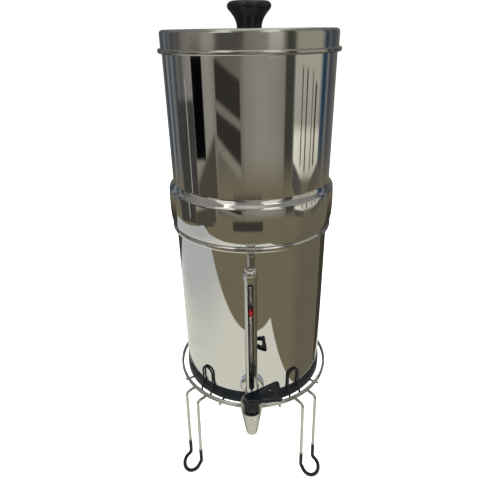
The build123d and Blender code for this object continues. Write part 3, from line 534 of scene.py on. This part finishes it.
ring_rubber = moulded(
    "ring_rubber", (0.0060, 0.0085, 0.0120), (0.05, 0.055, 0.062), 0.46,
    bump=0.03, dusty=0.3, IOR=1.28,
)
grip, band, lip = chamber + 1.5, chamber + 1.0, 95.0
grip_up, band_up = 14.0, 20.0
base_ring = turned(
    "base_ring_rubber",
    (
        (102, 0), (grip, 0, 0.9), (grip, grip_up, 0.35), (band, grip_up), (band, band_up, 0.42),
        (chamber, band_up, 0.3), (chamber, 11), (107.5, 8.7, 1.4), (106.2, 6.6, 1.4),
        (102, floor_up), (lip, floor_up, 0.8), (lip, 0, 0.8), (102, 0),
    ),
    (0, 0, vessel_z),
    steps=144,
)
finished(base_ring, "lower_vessel", ring_rubber, "black_rubber", "base_ring")

# ===================================================================== upper chamber ====
# One sheet again: a floor and spigot that drop into the lower chamber, a shelf that rests
# on its rim, a bulged collar, a straight mirror wall and an edge hemmed inwards.
shelf_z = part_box("lower_chamber")[1].z + 0.0003
spigot, spigot_drop, shelf, collar, wall_up = 105.5, 22.0, 112.2, 114.8, 240.1
hem_in, hem_depth = 105.4, 2.6
upper_chamber = turned(
    "upper_chamber_shell",
    (
        (0, -spigot_drop), (spigot, -spigot_drop, 6), (spigot, 0, 1.2), (shelf, 0, 1.6),
        (113.5, 4.8, 2.3), (114.4, 11.5, 3.2), (collar, 21, 3.9), (collar, 29, 3.9),
        (114.55, 40, 5.0), (113.9, 50.7, 1.65), (chamber, 57.2, 3.47), (chamber, wall_up, 1.3),
        (hem_in, wall_up, 1.3), (hem_in, wall_up - hem_depth, 1.1), (inside, wall_up - hem_depth),
        (inside, 56.81), (112.91, 50.3), (collar - sheet, 25), (112.1, sheet),
        (spigot - sheet, sheet), (spigot - sheet, sheet - spigot_drop), (0, sheet - spigot_drop),
    ),
    (0, 0, shelf_z),
    steps=144,
)
hole_out = 0.052
floor_middle = shelf_z + (sheet / 2 - spigot_drop) / 1000
for across, outwards in ((1, 0), (-1, 0), (0, 1), (0, -1)):
    hole_place = (across * hole_out, outwards * hole_out, floor_middle)
    combine(upper_chamber, bar("filter_hole", 0.00635, 0.006, hole_place), "DIFFERENCE")
finished(upper_chamber, "upper_vessel", mirror_steel, "polished_steel", "upper_chamber", smooth=30)

# =============================================================================== lid ====
# A shallow pressed lid of thinner sheet, less brightly polished than the chambers. Its
# skirt ends in a rolled bead that a fingertip catches.
lid_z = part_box("lid")[1].z
lid_sheet, dish, ridge, crown, skirt = 0.9, 0.35, 36.0, 100.0, 109.3
bead, bead_top, bead_foot = 113.0, -19.9, -25.5
lid = turned(
    "lid_pressing",
    (
        (0, 0), (ridge - 2, 0), (ridge, -dish, 0.9), (crown, -dish), (102.5, 0, 1.2), (skirt, 0, 4.2),
        (skirt, bead_top), (bead, bead_top, 2.2), (bead, bead_foot, 2.2),
        (skirt - lid_sheet, bead_foot, 2.2), (skirt - lid_sheet, -lid_sheet, 3.4),
        (crown + 2, -lid_sheet), (crown, -dish - lid_sheet), (ridge, -dish - lid_sheet),
        (ridge - 2, -lid_sheet), (0, -lid_sheet),
    ),
    (0, 0, lid_z),
    steps=144,
)
lid_steel = polished("lid_steel", (0.58, 0.565, 0.53), 0.14, streak_size=0.8, hazy=1.5)
finished(lid, "lid", lid_steel, "polished_steel", "lid", smooth=30)

# ============================================================================== knob ====
# A waisted knob of black moulded plastic, screwed on from under the lid. Its brow is
# rounded and its top is flat.
knob_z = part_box("lid_knob")[0].z
knob_top = 30.0
knob = turned(
    "lid_knob_moulding",
    (
        (0, 0), (15.1, 0, 0.4), (15.25, 2.4), (15.5, 4.4, 1.2), (17.1, 9.9, 2.0), (19.6, 14.2, 2.0),
        (22.8, 18, 2.0), (25.75, 21.1, 1.6), (26.9, 24.0, 1.2), (26.2, 27.0, 1.3),
        (23.6, knob_top - 0.8, 1.4), (20.0, knob_top, 1.2), (13.0, knob_top),
        (12.4, knob_top - 0.25, 0.3), (0, knob_top - 0.25),
    ),
    (0, 0, knob_z),
    steps=96,
)
satin_black = moulded(
    "satin_black", (0.0035, 0.0050, 0.0075), (0.035, 0.038, 0.042), 0.24,
    bump=0.012, dusty=0.12, rubbed_and_sheen=0.3, IOR=1.45,
)
finished(knob, "lid", satin_black, "black_plastic", "lid_knob", smooth=50)

# ===================================================================== screw and nut ====
# The screw under the lid's knob and the nut behind the tap are plated steel. Both are out
# of sight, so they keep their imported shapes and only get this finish.


def dress(material, *names):
    """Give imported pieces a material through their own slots."""
    for name in names:
        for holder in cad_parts[name].material_slots:
            holder.material = material


plated_screw = polished("plated_screw", (0.66, 0.655, 0.64), 0.20, smudge_size=6.0, ripple=0.0, hazy=1.6)
dress(plated_screw, "knob_screw", "tap_nut")

# ====================================================================== stand: rings ====
# Two rings of 3.5 mm bright wire, one above the other, go round the vessel's foot. Each is
# rolled to a circle and its ends are butt-welded.
# The wire's dark specular tint is painted shade: it darkens its edges as if they mirrored a dim room.
bright_wire = polished(
    "bright_wire", (0.64, 0.635, 0.62), 0.06,
    streak_size=1.4, smudge_size=4.0, ripple=0.0, Specular_Tint=(0.22, 0.22, 0.23, 1),
)
stand_z = vessel_z - 0.0003
ring_wire = 0.0035


def wire_start(name, wire, point, along, sides=16):
    """The round end of a wire, in edit mode, facing along its run."""
    bpy.ops.object.select_all(action="DESELECT")
    facing = Vector(along).to_track_quat("Z", "Y").to_euler()
    bpy.ops.mesh.primitive_circle_add(
        vertices=sides, radius=wire / 2, fill_type="NGON", location=Vector(point), rotation=facing
    )
    bpy.ops.object.transform_apply()
    piece = bpy.context.object
    piece.name = piece.data.name = name
    bpy.ops.object.mode_set(mode="EDIT")
    bpy.ops.mesh.select_all(action="SELECT")
    return piece


def wire_ring(name, wire, radius, height):
    """A closed ring of wire round the upright axis."""
    piece = wire_start(name, wire, (radius, 0, height), (0, 1, 0))
    bpy.ops.mesh.delete(type="ONLY_FACE")
    bpy.ops.mesh.select_all(action="SELECT")
    bpy.ops.mesh.spin(steps=144, angle=-math.tau, center=(0, 0, 0), axis=(0, 0, 1))
    return closed(piece)


for name in ("stand_upper_ring", "stand_lower_ring"):
    ring_low, ring_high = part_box(name)
    ring_radius = ring_high.x - ring_wire / 2
    ring = wire_ring(name + "_wire", ring_wire, ring_radius, (ring_low.z + ring_high.z) / 2)
    finished(ring, "stand", bright_wire, "bright_wire", name, smooth=60)

# ================================================================= stand: base frame ====
# Eight straight spokes of the same wire are welded under the rings and to a small inner
# ring. They carry the vessel's weight, and their cut ends are slightly rounded.
# The whole stand is turned by this many degrees from the tap's side.
stand_turn = -2
spoke_z = stand_z - ring_wire / 2
hub_ring, spoke_length = 0.060, 0.0622
base_frame = wire_ring("stand_base_frame_wire", ring_wire, hub_ring, spoke_z)
for side in (1, -1):
    for azimuth in (22, 60, 120, 156):
        spoke = wire_start("spoke", ring_wire, (hub_ring, 0, spoke_z), (1, 0, 0))
        bpy.ops.mesh.extrude_region_move(TRANSFORM_OT_translate={"value": (spoke_length, 0, 0)})
        bpy.ops.mesh.bevel(offset=0.0005, segments=2, affect="EDGES")
        closed(spoke)
        spoke.rotation_euler.z = math.radians(side * azimuth + stand_turn - 90)
        bpy.ops.object.transform_apply()
        picked(spoke, base_frame)
        bpy.ops.object.join()
finished(base_frame, "stand", bright_wire, "bright_wire", "stand_base_frame", smooth=60)

# ===================================================================== stand: prongs ====
# Four narrow hairpins stand up round the chamber's foot, so that the vessel can't slide
# off. Each is one wire, bent over a round former, cranked in to the wall and dipped in
# the same black vinyl as the feet, so that it can't scratch the steel.
vinyl = moulded(
    "dipped_vinyl", (0.0055, 0.0075, 0.0110), (0.06, 0.065, 0.070), 0.33,
    grain_size=0.6, bump=0.05, dusty=0.4, rubbed_and_sheen=0.4, IOR=1.34,
)


def bent(name, wire, corners, sides=16):
    """Half a hairpin through its corners (across, outwards, up, bend radius in mm), mirrored."""
    spots = [Vector(corner[:3]) / 1000 for corner in corners]
    here = spots[0]
    piece = wire_start(name, wire, here, spots[1] - here, sides)
    for index in range(1, len(spots)):
        spot = spots[index]
        into = (spot - spots[index - 1]).normalized()
        if index == len(spots) - 1:
            bpy.ops.mesh.extrude_region_move(TRANSFORM_OT_translate={"value": spot - here})
            break
        out = (spots[index + 1] - spot).normalized()
        radius = corners[index][3] / 1000
        angle = into.angle(out)
        start = spot - into * radius * math.tan(angle / 2)
        if (start - here).length > 1e-5:
            bpy.ops.mesh.extrude_region_move(TRANSFORM_OT_translate={"value": start - here})
        centre = spot + (out - into).normalized() * radius / math.cos(angle / 2)
        turns = max(2, round(12 * angle / math.pi * max(1.0, radius / 0.006)))
        axis = into.cross(out).normalized()
        bpy.ops.mesh.spin(steps=turns, angle=-angle, center=centre, axis=axis)
        here = spot + out * radius * math.tan(angle / 2)
        if index == len(spots) - 2 and (spots[-1] - here).length < 1e-5:
            break
    bpy.ops.mesh.delete(type="ONLY_FACE")
    bpy.ops.object.mode_set(mode="OBJECT")
    half = piece.modifiers.new("other_half", "MIRROR")
    half.use_axis = (True, False, False)
    half.merge_threshold = 0.00002
    bpy.ops.object.modifier_apply(modifier=half.name)
    bpy.ops.object.mode_set(mode="EDIT")
    return closed(piece)


def four_stood(pattern, piece_name, node_name, front, material, slot):
    """Stand four copies of a pattern at one angle either side of front and back, and drop it."""
    for place, azimuth in (
        ("front_right", front), ("front_left", -front),
        ("back_right", 180 - front), ("back_left", front - 180),
    ):
        copy = pattern.copy()
        copy.data = pattern.data.copy()
        copy.name = copy.data.name = piece_name.format(place)
        bpy.context.collection.objects.link(copy)
        picked(copy)
        copy.rotation_euler.z = math.radians(azimuth + stand_turn + 180)
        bpy.ops.object.transform_apply()
        finished(copy, "stand", material, slot, node_name.format(place), smooth=60)
    bpy.data.objects.remove(pattern)


stand_mm = stand_z * 1000
prong_half, prong_top = 9.3, stand_mm + 49.5
prong_foot_out, prong_out = 115.38, 109.8
prong_pattern = bent(
    "prong_pattern",
    0.003,
    (
        (prong_half, prong_foot_out, stand_mm + 0.9), (prong_half, prong_foot_out, stand_mm + 6, 5),
        (prong_half, prong_out + 1.4, stand_mm + 14, 5), (prong_half, prong_out, stand_mm + 28, 20),
        (prong_half, prong_out, prong_top, prong_half), (0, prong_out, prong_top),
    ),
)
prong_turn = 35.8
four_stood(prong_pattern, "prong_{}_wire", "stand_prong_{}", prong_turn, vinyl, "black_vinyl")

# ======================================================================= stand: legs ====
# Each leg is one hairpin of 4.6 mm bright wire: two tails welded under the rings, two rods
# that lean outwards, and a round foot that kicks out at the ankle.
coat = 5.6
knee_z, knee_out, rod_half, tail = stand_mm - 2.3, 132.5, 13.5, 15.25
rod_lean, foot_tilt = math.radians(1.2), math.radians(60)
knee_bend, ankle_bend, neck_bend, loop = 5.5, 5.0, 3.3, 14.5
neck_start = ankle_bend * math.tan((foot_tilt - rod_lean) / 2) + 0.6
loop_reach = math.sqrt((loop + neck_bend) ** 2 - (rod_half + neck_bend) ** 2)
neck_turn = math.atan2(loop_reach, rod_half + neck_bend)
loop_middle = neck_start + loop_reach
ankle_z = coat / 2 + (loop_middle + loop) * math.cos(foot_tilt)
ankle_out = knee_out + (knee_z - ankle_z) * math.tan(rod_lean)


def on_foot(across, along, bend=None):
    """A corner on the foot's leaning plane, measured along it from the ankle."""
    down, out = along * math.cos(foot_tilt), along * math.sin(foot_tilt)
    return (across, ankle_out + out, ankle_z - down, bend)


foot_corners = (
    on_foot(rod_half, neck_start + neck_bend * math.tan(neck_turn / 2), neck_bend),
    on_foot(loop, loop_middle - loop * math.tan(neck_turn / 2), loop),
    on_foot(loop, loop_middle + loop, loop),
    on_foot(0, loop_middle + loop),
)
leg_pattern = bent(
    "leg_pattern",
    0.0046,
    (
        (rod_half, knee_out - tail, knee_z), (rod_half, knee_out, knee_z, knee_bend),
        (rod_half, ankle_out, ankle_z, ankle_bend), *foot_corners,
    ),
    sides=20,
)
leg_turn = 42.3
four_stood(leg_pattern, "leg_{}_wire", "stand_leg_{}", leg_turn, bright_wire, "bright_wire")

# ============================================================================== feet ====
# The feet and ankles are dipped in black vinyl, which ends in a soft lip on the rods.
# The dip leaves a coat half a millimetre thick.
coat_top = 41.0
coat_out = knee_out + (knee_z - coat_top) * math.tan(rod_lean)
coat_pattern = bent(
    "coat_pattern",
    coat / 1000,
    ((rod_half, coat_out, coat_top), (rod_half, ankle_out, ankle_z, ankle_bend), *foot_corners),
    sides=24,
)
rounded(coat_pattern, 0.35, segments=2, angle=60)
four_stood(coat_pattern, "foot_{}_vinyl", "foot_sleeve_{}", leg_turn, vinyl, "black_vinyl")

# =============================================================================== tap ====
# One chromed casting: a threaded shank through the wall, a flange, an arm, a boss that
# holds the sight tube, and a tapered spout with a wall round the back of its lever.
spout_y, sight_y = -0.165, -0.135
mouth_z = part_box("tap_body")[0].z
ledge_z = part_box("lever")[0].z - 0.0003
ledge_up = (ledge_z - mouth_z) * 1000
outlet, cup, seat, seat_up = 5.5, 14.1, 8.05, 16.0
tap = turned(
    "tap_casting",
    (
        (outlet, 8), (outlet, 0, 0.4), (7.6, 0, 1.0), (12.92, ledge_up - 7.35),
        (12.62, ledge_up - 7.15), (12.68, ledge_up - 6.85), (13.04, ledge_up - 6.65),
        (cup, ledge_up, 0.35), (seat, ledge_up), (seat, seat_up), (outlet, seat_up), (outlet, 8),
    ),
    (0, spout_y, mouth_z),
    steps=72,
)
cup_inside, cup_up, cup_foot = 10.7, 14.7, -0.4
cup_gap_side, cup_turn = math.radians(32.5), math.radians(245)
cup_wall = drawn(
    "cup_wall",
    (
        (cup_inside, cup_foot), (cup, cup_foot), (cup, cup_up, 0.8), (cup_inside, cup_up, 0.8),
        (cup_inside, cup_foot),
    ),
    (0, spout_y, ledge_z),
)
spout_middle = (0, spout_y, ledge_z)
bpy.ops.transform.rotate(value=cup_gap_side, orient_axis="Z", center_override=spout_middle)
bpy.ops.mesh.remove_doubles(threshold=5e-6)
bpy.ops.mesh.select_all(action="SELECT")
bpy.ops.mesh.spin(steps=48, angle=-cup_turn, center=spout_middle, axis=(0, 0, 1))
mark(cup_wall, "EDGE", lambda edge: edge.is_boundary)
bpy.ops.mesh.fill()
closed(cup_wall)
arm_radius, waterway, arm_end, flange = 8.4, 4.0, 165.0, 16.5
arm = turned(
    "tap_arm",
    (
        (waterway, 100), (waterway, 89, 0.3), (8, 89, 0.6), (8, 111.2), (flange, 111.2, 0.4),
        (flange, 113.0, 0.5), (14.6, 115.2, 0.9), (10.2, 115.4, 1.2), (arm_radius, 117.6, 1.4),
        (arm_radius, arm_end), (waterway, arm_end), (waterway, 100),
    ),
)
arm.location = (0, 0, tap_z)
arm.rotation_euler = (math.pi / 2, 0, 0)
bpy.ops.object.transform_apply()
boss_radius, boss_bore, guard_seat, guard_foot = 9.6, 2.0, 8.05, 9.0
boss = turned(
    "tap_boss",
    (
        (boss_bore, -6), (7.0, -6, 2.5), (boss_radius, 0.5, 3), (boss_radius, 13, 0.6),
        (guard_seat, 13, 0.3), (guard_seat, guard_foot), (boss_bore, guard_foot), (boss_bore, -6),
    ),
    (0, sight_y, tap_z),
)
for part in (arm, boss, cup_wall):
    combine(tap, part, "UNION")
bore_low, bore_high = seat_up + 0.5, 35.0
bore_middle = mouth_z + (bore_low + bore_high) / 2000
bore = bar("tap_bore", outlet / 1000, (bore_high - bore_low) / 1000, (0, spout_y, bore_middle))
combine(tap, bore, "DIFFERENCE")
blocked_from, blocked_to = sight_y - 0.0185, sight_y + 0.0025


def in_blocked_waterway(vertex):
    """Whether a vertex lies where the boss and the spout close off a stretch of the arm's bore."""
    across, outwards, height = vertex.co
    in_bore = math.hypot(across, height - tap_z) < waterway / 1000 + 0.0001
    return in_bore and blocked_from < outwards < blocked_to


picked(tap)
bpy.ops.object.mode_set(mode="EDIT")
mark(tap, "VERT", in_blocked_waterway)
bpy.ops.mesh.delete(type="VERT")
bpy.ops.object.mode_set(mode="OBJECT")
rounded(tap, 0.25, segments=2, angle=28)
# The chrome's darker specular tint is painted shade along its edges.
chrome = polished(
    "tap_chrome", (0.70, 0.685, 0.65), 0.09,
    streak_size=2.0, smudge_size=5.0, ripple=0.02, Specular_Tint=(0.45, 0.44, 0.43, 1),
)
finished(tap, "lower_vessel", chrome, "tap_chrome", "tap_body", smooth=40)

# ======================================================================== tap washer ====
# A soft washer of milky silicone lies between the tap's flange and the chamber's wall. It
# is moulded, and the nut inside squeezes it.
silicone, tree, shader = paint(
    "milky_silicone",
    Roughness=0.36,
    IOR=1.41,
    Transmission_Weight=0.15,
    Subsurface_Weight=0.35,
    Subsurface_Scale=0.004,
)
skin = placed(tree, grain, Size=0.5)["Patches"]
worn_and_sheen = placed(tree, rub_and_sheen, Reach=0.0012, Amount=0.5)["Rub"]
film = placed(tree, dust, Amount=0.6)["Dust"]
milky, milky_pale, rubbed_pale, dusty_pale = (
    (0.24, 0.30, 0.39), (0.38, 0.44, 0.52), (0.66, 0.72, 0.80), (0.60, 0.62, 0.62)
)
tint = mixed(tree, worn_and_sheen, mixed(tree, skin, milky, milky_pale), rubbed_pale)
wired(tree, shader, Base_Color=mixed(tree, film, tint, dusty_pale))
dress(silicone, "tap_outer_washer")

# ============================================================================= seals ====
# Moulded rubber washers and sleeves seal the tap, its valve, the sight tube and the holes
# in the floor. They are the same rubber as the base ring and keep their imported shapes.
dress(
    ring_rubber,
    "tap_inner_washer", "valve_seal", "sight_lower_seal", "sight_upper_seal",
    "element_washer_right", "element_washer_left", "plug_washer_front", "plug_washer_back",
)

# ======================================================================= white parts ====
# The valve's plug, the filters' end caps, the blanking plugs and the wing nuts are moulded
# in white plastic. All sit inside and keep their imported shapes.
white_plastic = moulded(
    "white_plastic", (0.66, 0.66, 0.63), (0.80, 0.79, 0.75), 0.36,
    grain_size=0.7, bump=0.05, dusty=0.2, rubbed_and_sheen=0.5,
)
dress(
    white_plastic,
    "valve_plug", "element_cap_right", "element_cap_left", "blanking_plug_front",
    "blanking_plug_back", "wing_nut_right", "wing_nut_left", "wing_nut_front", "wing_nut_back",
)

# ============================================================================= lever ====
# A black moulded lever turns on the tap: a round hub that sits in the cup, and a thick flat
# paddle with a window for a fingertip.


def plate(name, outlines, height, thickness):
    """A flat moulding: an outside outline, then its holes; points are x, y, bend's reach in mm."""
    bpy.ops.object.select_all(action="DESELECT")
    bpy.ops.mesh.primitive_plane_add(size=0.0001, location=(0, 0, 0))
    piece = bpy.context.object
    piece.name = piece.data.name = name
    bpy.ops.object.mode_set(mode="EDIT")
    bpy.ops.mesh.delete(type="VERT")
    for outline in outlines:
        bpy.ops.mesh.primitive_plane_add(size=0.0001, location=(0, 0, 0))
        bpy.ops.mesh.merge(type="CENTER")
        spots = [Vector((point[0] / 1000, point[1] / 1000, height)) for point in outline]
        bpy.ops.transform.translate(value=spots[0])
        for here, there in zip(spots, spots[1:] + spots[:1]):
            bpy.ops.mesh.extrude_vertices_move(TRANSFORM_OT_translate={"value": there - here})
        mark(piece, "VERT", lambda vertex: True)
        bpy.ops.mesh.remove_doubles(threshold=5e-6)
        for point, spot in zip(outline, spots):
            mark(piece, "VERT", lambda vertex: (vertex.co - spot).length < 2e-5)
            bpy.ops.mesh.bevel(affect="VERTICES", offset=point[2] / 1000, segments=8, profile=0.5)
        mark(piece, "VERT", lambda vertex: False)
    bpy.ops.mesh.select_all(action="SELECT")
    bpy.ops.mesh.fill(use_beauty=True)
    bpy.ops.mesh.select_all(action="SELECT")
    bpy.ops.mesh.extrude_region_move(TRANSFORM_OT_translate={"value": (0, 0, thickness)})
    return closed(piece)


lever_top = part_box("lever")[1].z
paddle_thickness, lever_turn = 0.006, math.radians(16)
paddle = plate(
    "lever_moulding",
    (
        ((-10.35, 1.0, 0.6), (-10.4, -8.77, 8.6), (38.44, -17.15, 4.18), (42.75, 16.56, 6.12)),
        ((12.5, -11.0, 1.8), (30.0, -11.0, 1.8), (30.0, 8.0, 2.2), (12.5, 3.0, 1.6)),
    ),
    lever_top - paddle_thickness,
    paddle_thickness,
)
rounded(paddle, 0.9, segments=4, angle=50)
paddle.location = (0, spout_y, 0)
paddle.rotation_euler.z = lever_turn
bpy.ops.object.transform_apply()
hub_radius, hub_groove = 10.15, 9.95
hub_z = ledge_z + 0.0003
hub_up = (lever_top - hub_z) * 1000 - 5.4
hub = turned(
    "lever_hub",
    (
        (0, 0), (hub_radius, 0, 0.5), (hub_radius, 2.5), (hub_groove, 2.7), (hub_groove, 3.0),
        (hub_radius, 3.2), (hub_radius, hub_up), (0, hub_up),
    ),
    (0, spout_y, hub_z),
)
dimple_place = (0, spout_y - 0.0103, ledge_z + 0.0073)
dimple = bar("dimple", 0.001, 0.0022, dimple_place, (math.pi / 2, 0, 0), 20)
combine(hub, dimple, "DIFFERENCE")
picked(hub, paddle)
bpy.ops.object.join()
# The lever's pale, strongly rubbed edges are partly wear and partly a painted highlight along the
# paddle's edges.
gloss_black = moulded(
    "gloss_black", (0.0024, 0.0038, 0.0062), (0.17, 0.18, 0.19), 0.20,
    bump=0.01, dusty=0.05, rubbed_and_sheen=0.9, IOR=1.27,
)
finished(paddle, "lever", gloss_black, "black_plastic", "lever", smooth=35)

# ======================================================================= sight guard ====
# A chromed tube stands in the tap's boss and guards the glass. A long slot is milled in its
# front. Its bore is darker and rougher than the outside: painted shade inside the tube.
guard_low, guard_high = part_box("sight_guard")
guard_length = (guard_high.z - guard_low.z) * 1000
guard_radius, guard_bore = 8.0, 6.8
guard = turned(
    "sight_guard_tube",
    (
        (guard_bore, 60), (guard_bore, 0, 0.3), (guard_radius, 0, 0.3),
        (guard_radius, guard_length, 0.3), (guard_bore, guard_length, 0.3), (guard_bore, 60),
    ),
    (0, sight_y, guard_low.z),
)
slot_low, slot_high = tap_z + 0.021, guard_high.z - 0.0057
slot_radius = 0.00375
slot_middle = slot_low + slot_radius
slot_place = (0, sight_y - guard_radius / 1000, slot_middle)
slot_cutter = bar("slot_cutter", slot_radius, 0.012, slot_place, (math.pi / 2, 0, 0), 40)
bpy.ops.object.transform_apply()
bpy.ops.object.mode_set(mode="EDIT")
mark(slot_cutter, "VERT", lambda vertex: vertex.co.z > slot_middle - 1e-5)
bpy.ops.transform.translate(value=(0, 0, slot_high - slot_low - 2 * slot_radius))
bpy.ops.object.mode_set(mode="OBJECT")
combine(guard, slot_cutter, "DIFFERENCE")
rounded(guard, 0.22, segments=2, angle=50)
finished(guard, "lower_vessel", chrome, "tap_chrome", "sight_guard", smooth=32)


def on_bore(face):
    """Whether a face of the guard lies on its bore."""
    middle = face.calc_center_median()
    return math.hypot(middle.x, middle.y - sight_y) < guard_bore / 1000 + 0.00004


# The bore's darker, rougher metal is painted shade inside the tube.
shaded_bore = polished(
    "shaded_bore", (0.36, 0.335, 0.295), 0.46,
    streak_size=0.6, smudge_size=5.0, ripple=0.0, hazy=1.2,
)
guard.data.materials.append(shaded_bore)
guard.active_material_index = 1
bpy.ops.object.mode_set(mode="EDIT")
mark(guard, "FACE", on_bore)
bpy.ops.object.material_slot_assign()
bpy.ops.object.mode_set(mode="OBJECT")

# ======================================================================= sight glass ====
# A drawn glass tube, fire-polished at both ends, stands in rubber sleeves inside the guard.
# Water rises in it to the level in the chamber.
glass_low, glass_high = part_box("sight_glass")
glass_length = (glass_high.z - glass_low.z) * 1000
glass_radius, glass_bore = 5.9, 4.3
tube = turned(
    "sight_glass_tube",
    (
        (glass_bore, 60), (glass_bore, 0, 0.3), (glass_radius, 0, 0.5),
        (glass_radius, glass_length, 0.5), (glass_bore, glass_length, 0.3), (glass_bore, 60),
    ),
    (0, sight_y, glass_low.z),
)
# The glass's dark specular tint is painted shade: it dims the glass's reflections and highlights.
clear_glass, tree, shader = paint(
    "clear_glass",
    Base_Color=(0.94, 0.955, 0.95, 1),
    Roughness=0.0,
    IOR=1.47,
    Transmission_Weight=1.0,
    Specular_Tint=(0.2, 0.2, 0.2, 1),
)
marks = placed(tree, polish, Streak_Size=0.8, Smudge_Size=3.0)
wired(tree, shader, Roughness=maths(tree, "MULTIPLY_ADD", marks["Smudges"], 0.06, 0.015))
finished(tube, "lower_vessel", clear_glass, "sight_glass", "sight_glass", smooth=40)
tube.visible_shadow = False

# ========================================================================= sight cap ====
# A turned and chromed cap with two beads closes the guard and is screwed down on the upper
# rubber sleeve.
cap_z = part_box("sight_cap")[0].z
cap_radius, cap_groove, cap_bore = 9.0, 8.4, 8.05
cap = turned(
    "sight_cap_turning",
    (
        (0, 1.5), (cap_bore, 1.5), (cap_bore, 0, 0.2), (cap_radius, 0, 0.5), (cap_radius, 5.4, 0.2),
        (cap_groove, 5.9), (cap_groove, 6.6), (cap_radius, 7.1, 0.2), (cap_radius, 9.6, 1.2),
        (8.1, 11.4, 0.7), (5.6, 12.3, 0.8), (3.0, 12.35), (1.6, 13.0, 0.6), (0, 13.2),
    ),
    (0, sight_y, cap_z),
)
finished(cap, "lower_vessel", chrome, "tap_chrome", "sight_cap", smooth=34)

# ======================================================================= level float ====
# A small float of red moulded plastic rides on the water in the glass. A fine groove shows
# where its two halves meet.
float_low, float_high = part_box("level_float")
float_middle = (float_low.z + float_high.z) / 2
float_radius, float_end, float_half = 3.7, 2.6, 4.75
level_float = turned(
    "level_float_moulding",
    (
        (0, -float_half), (float_end, -float_half, 0.5), (float_radius, -3.7, 0.7),
        (float_radius, -0.35), (float_radius - 0.2, -0.2), (float_radius - 0.2, 0.2),
        (float_radius, 0.35), (float_radius, 3.7, 0.7), (float_end, float_half, 0.5), (0, float_half),
    ),
    (0, sight_y, float_middle),
    steps=40,
)
red_plastic = moulded(
    "red_plastic", (0.42, 0.004, 0.010), (0.52, 0.03, 0.04), 0.50,
    bump=0.03, dusty=0.03, rubbed_and_sheen=0.3, IOR=1.30,
)
finished(level_float, "float", red_plastic, "red_plastic", "level_float")

# =================================================================== filter elements ====
# Two pressed carbon blocks stand in the upper chamber, glued into white end caps. Their
# grains and binder give a dull, finely pitted black surface with a little loose dust.
carbon, tree, shader = paint("pressed_carbon", Roughness=0.85)
spot = node(tree, "TexCoord").outputs["Object"]
pits = node(tree, "TexVoronoi", {"Vector": spot, "Scale": 700.0}).outputs["Distance"]
grit = noise(tree, spot, 260.0, 6.0, 0.7)
film = placed(tree, dust, Amount=0.8)["Dust"]
carbon_deep, carbon_pale, carbon_dust = (
    (0.016, 0.016, 0.017), (0.060, 0.059, 0.058), (0.11, 0.108, 0.105)
)
wired(
    tree,
    shader,
    Base_Color=mixed(tree, film, mixed(tree, grit, carbon_deep, carbon_pale), carbon_dust),
    Normal=bumped(tree, maths(tree, "ADD", pits, grit), 0.5, 0.0004),
)
dress(carbon, "filter_element_right", "filter_element_left")
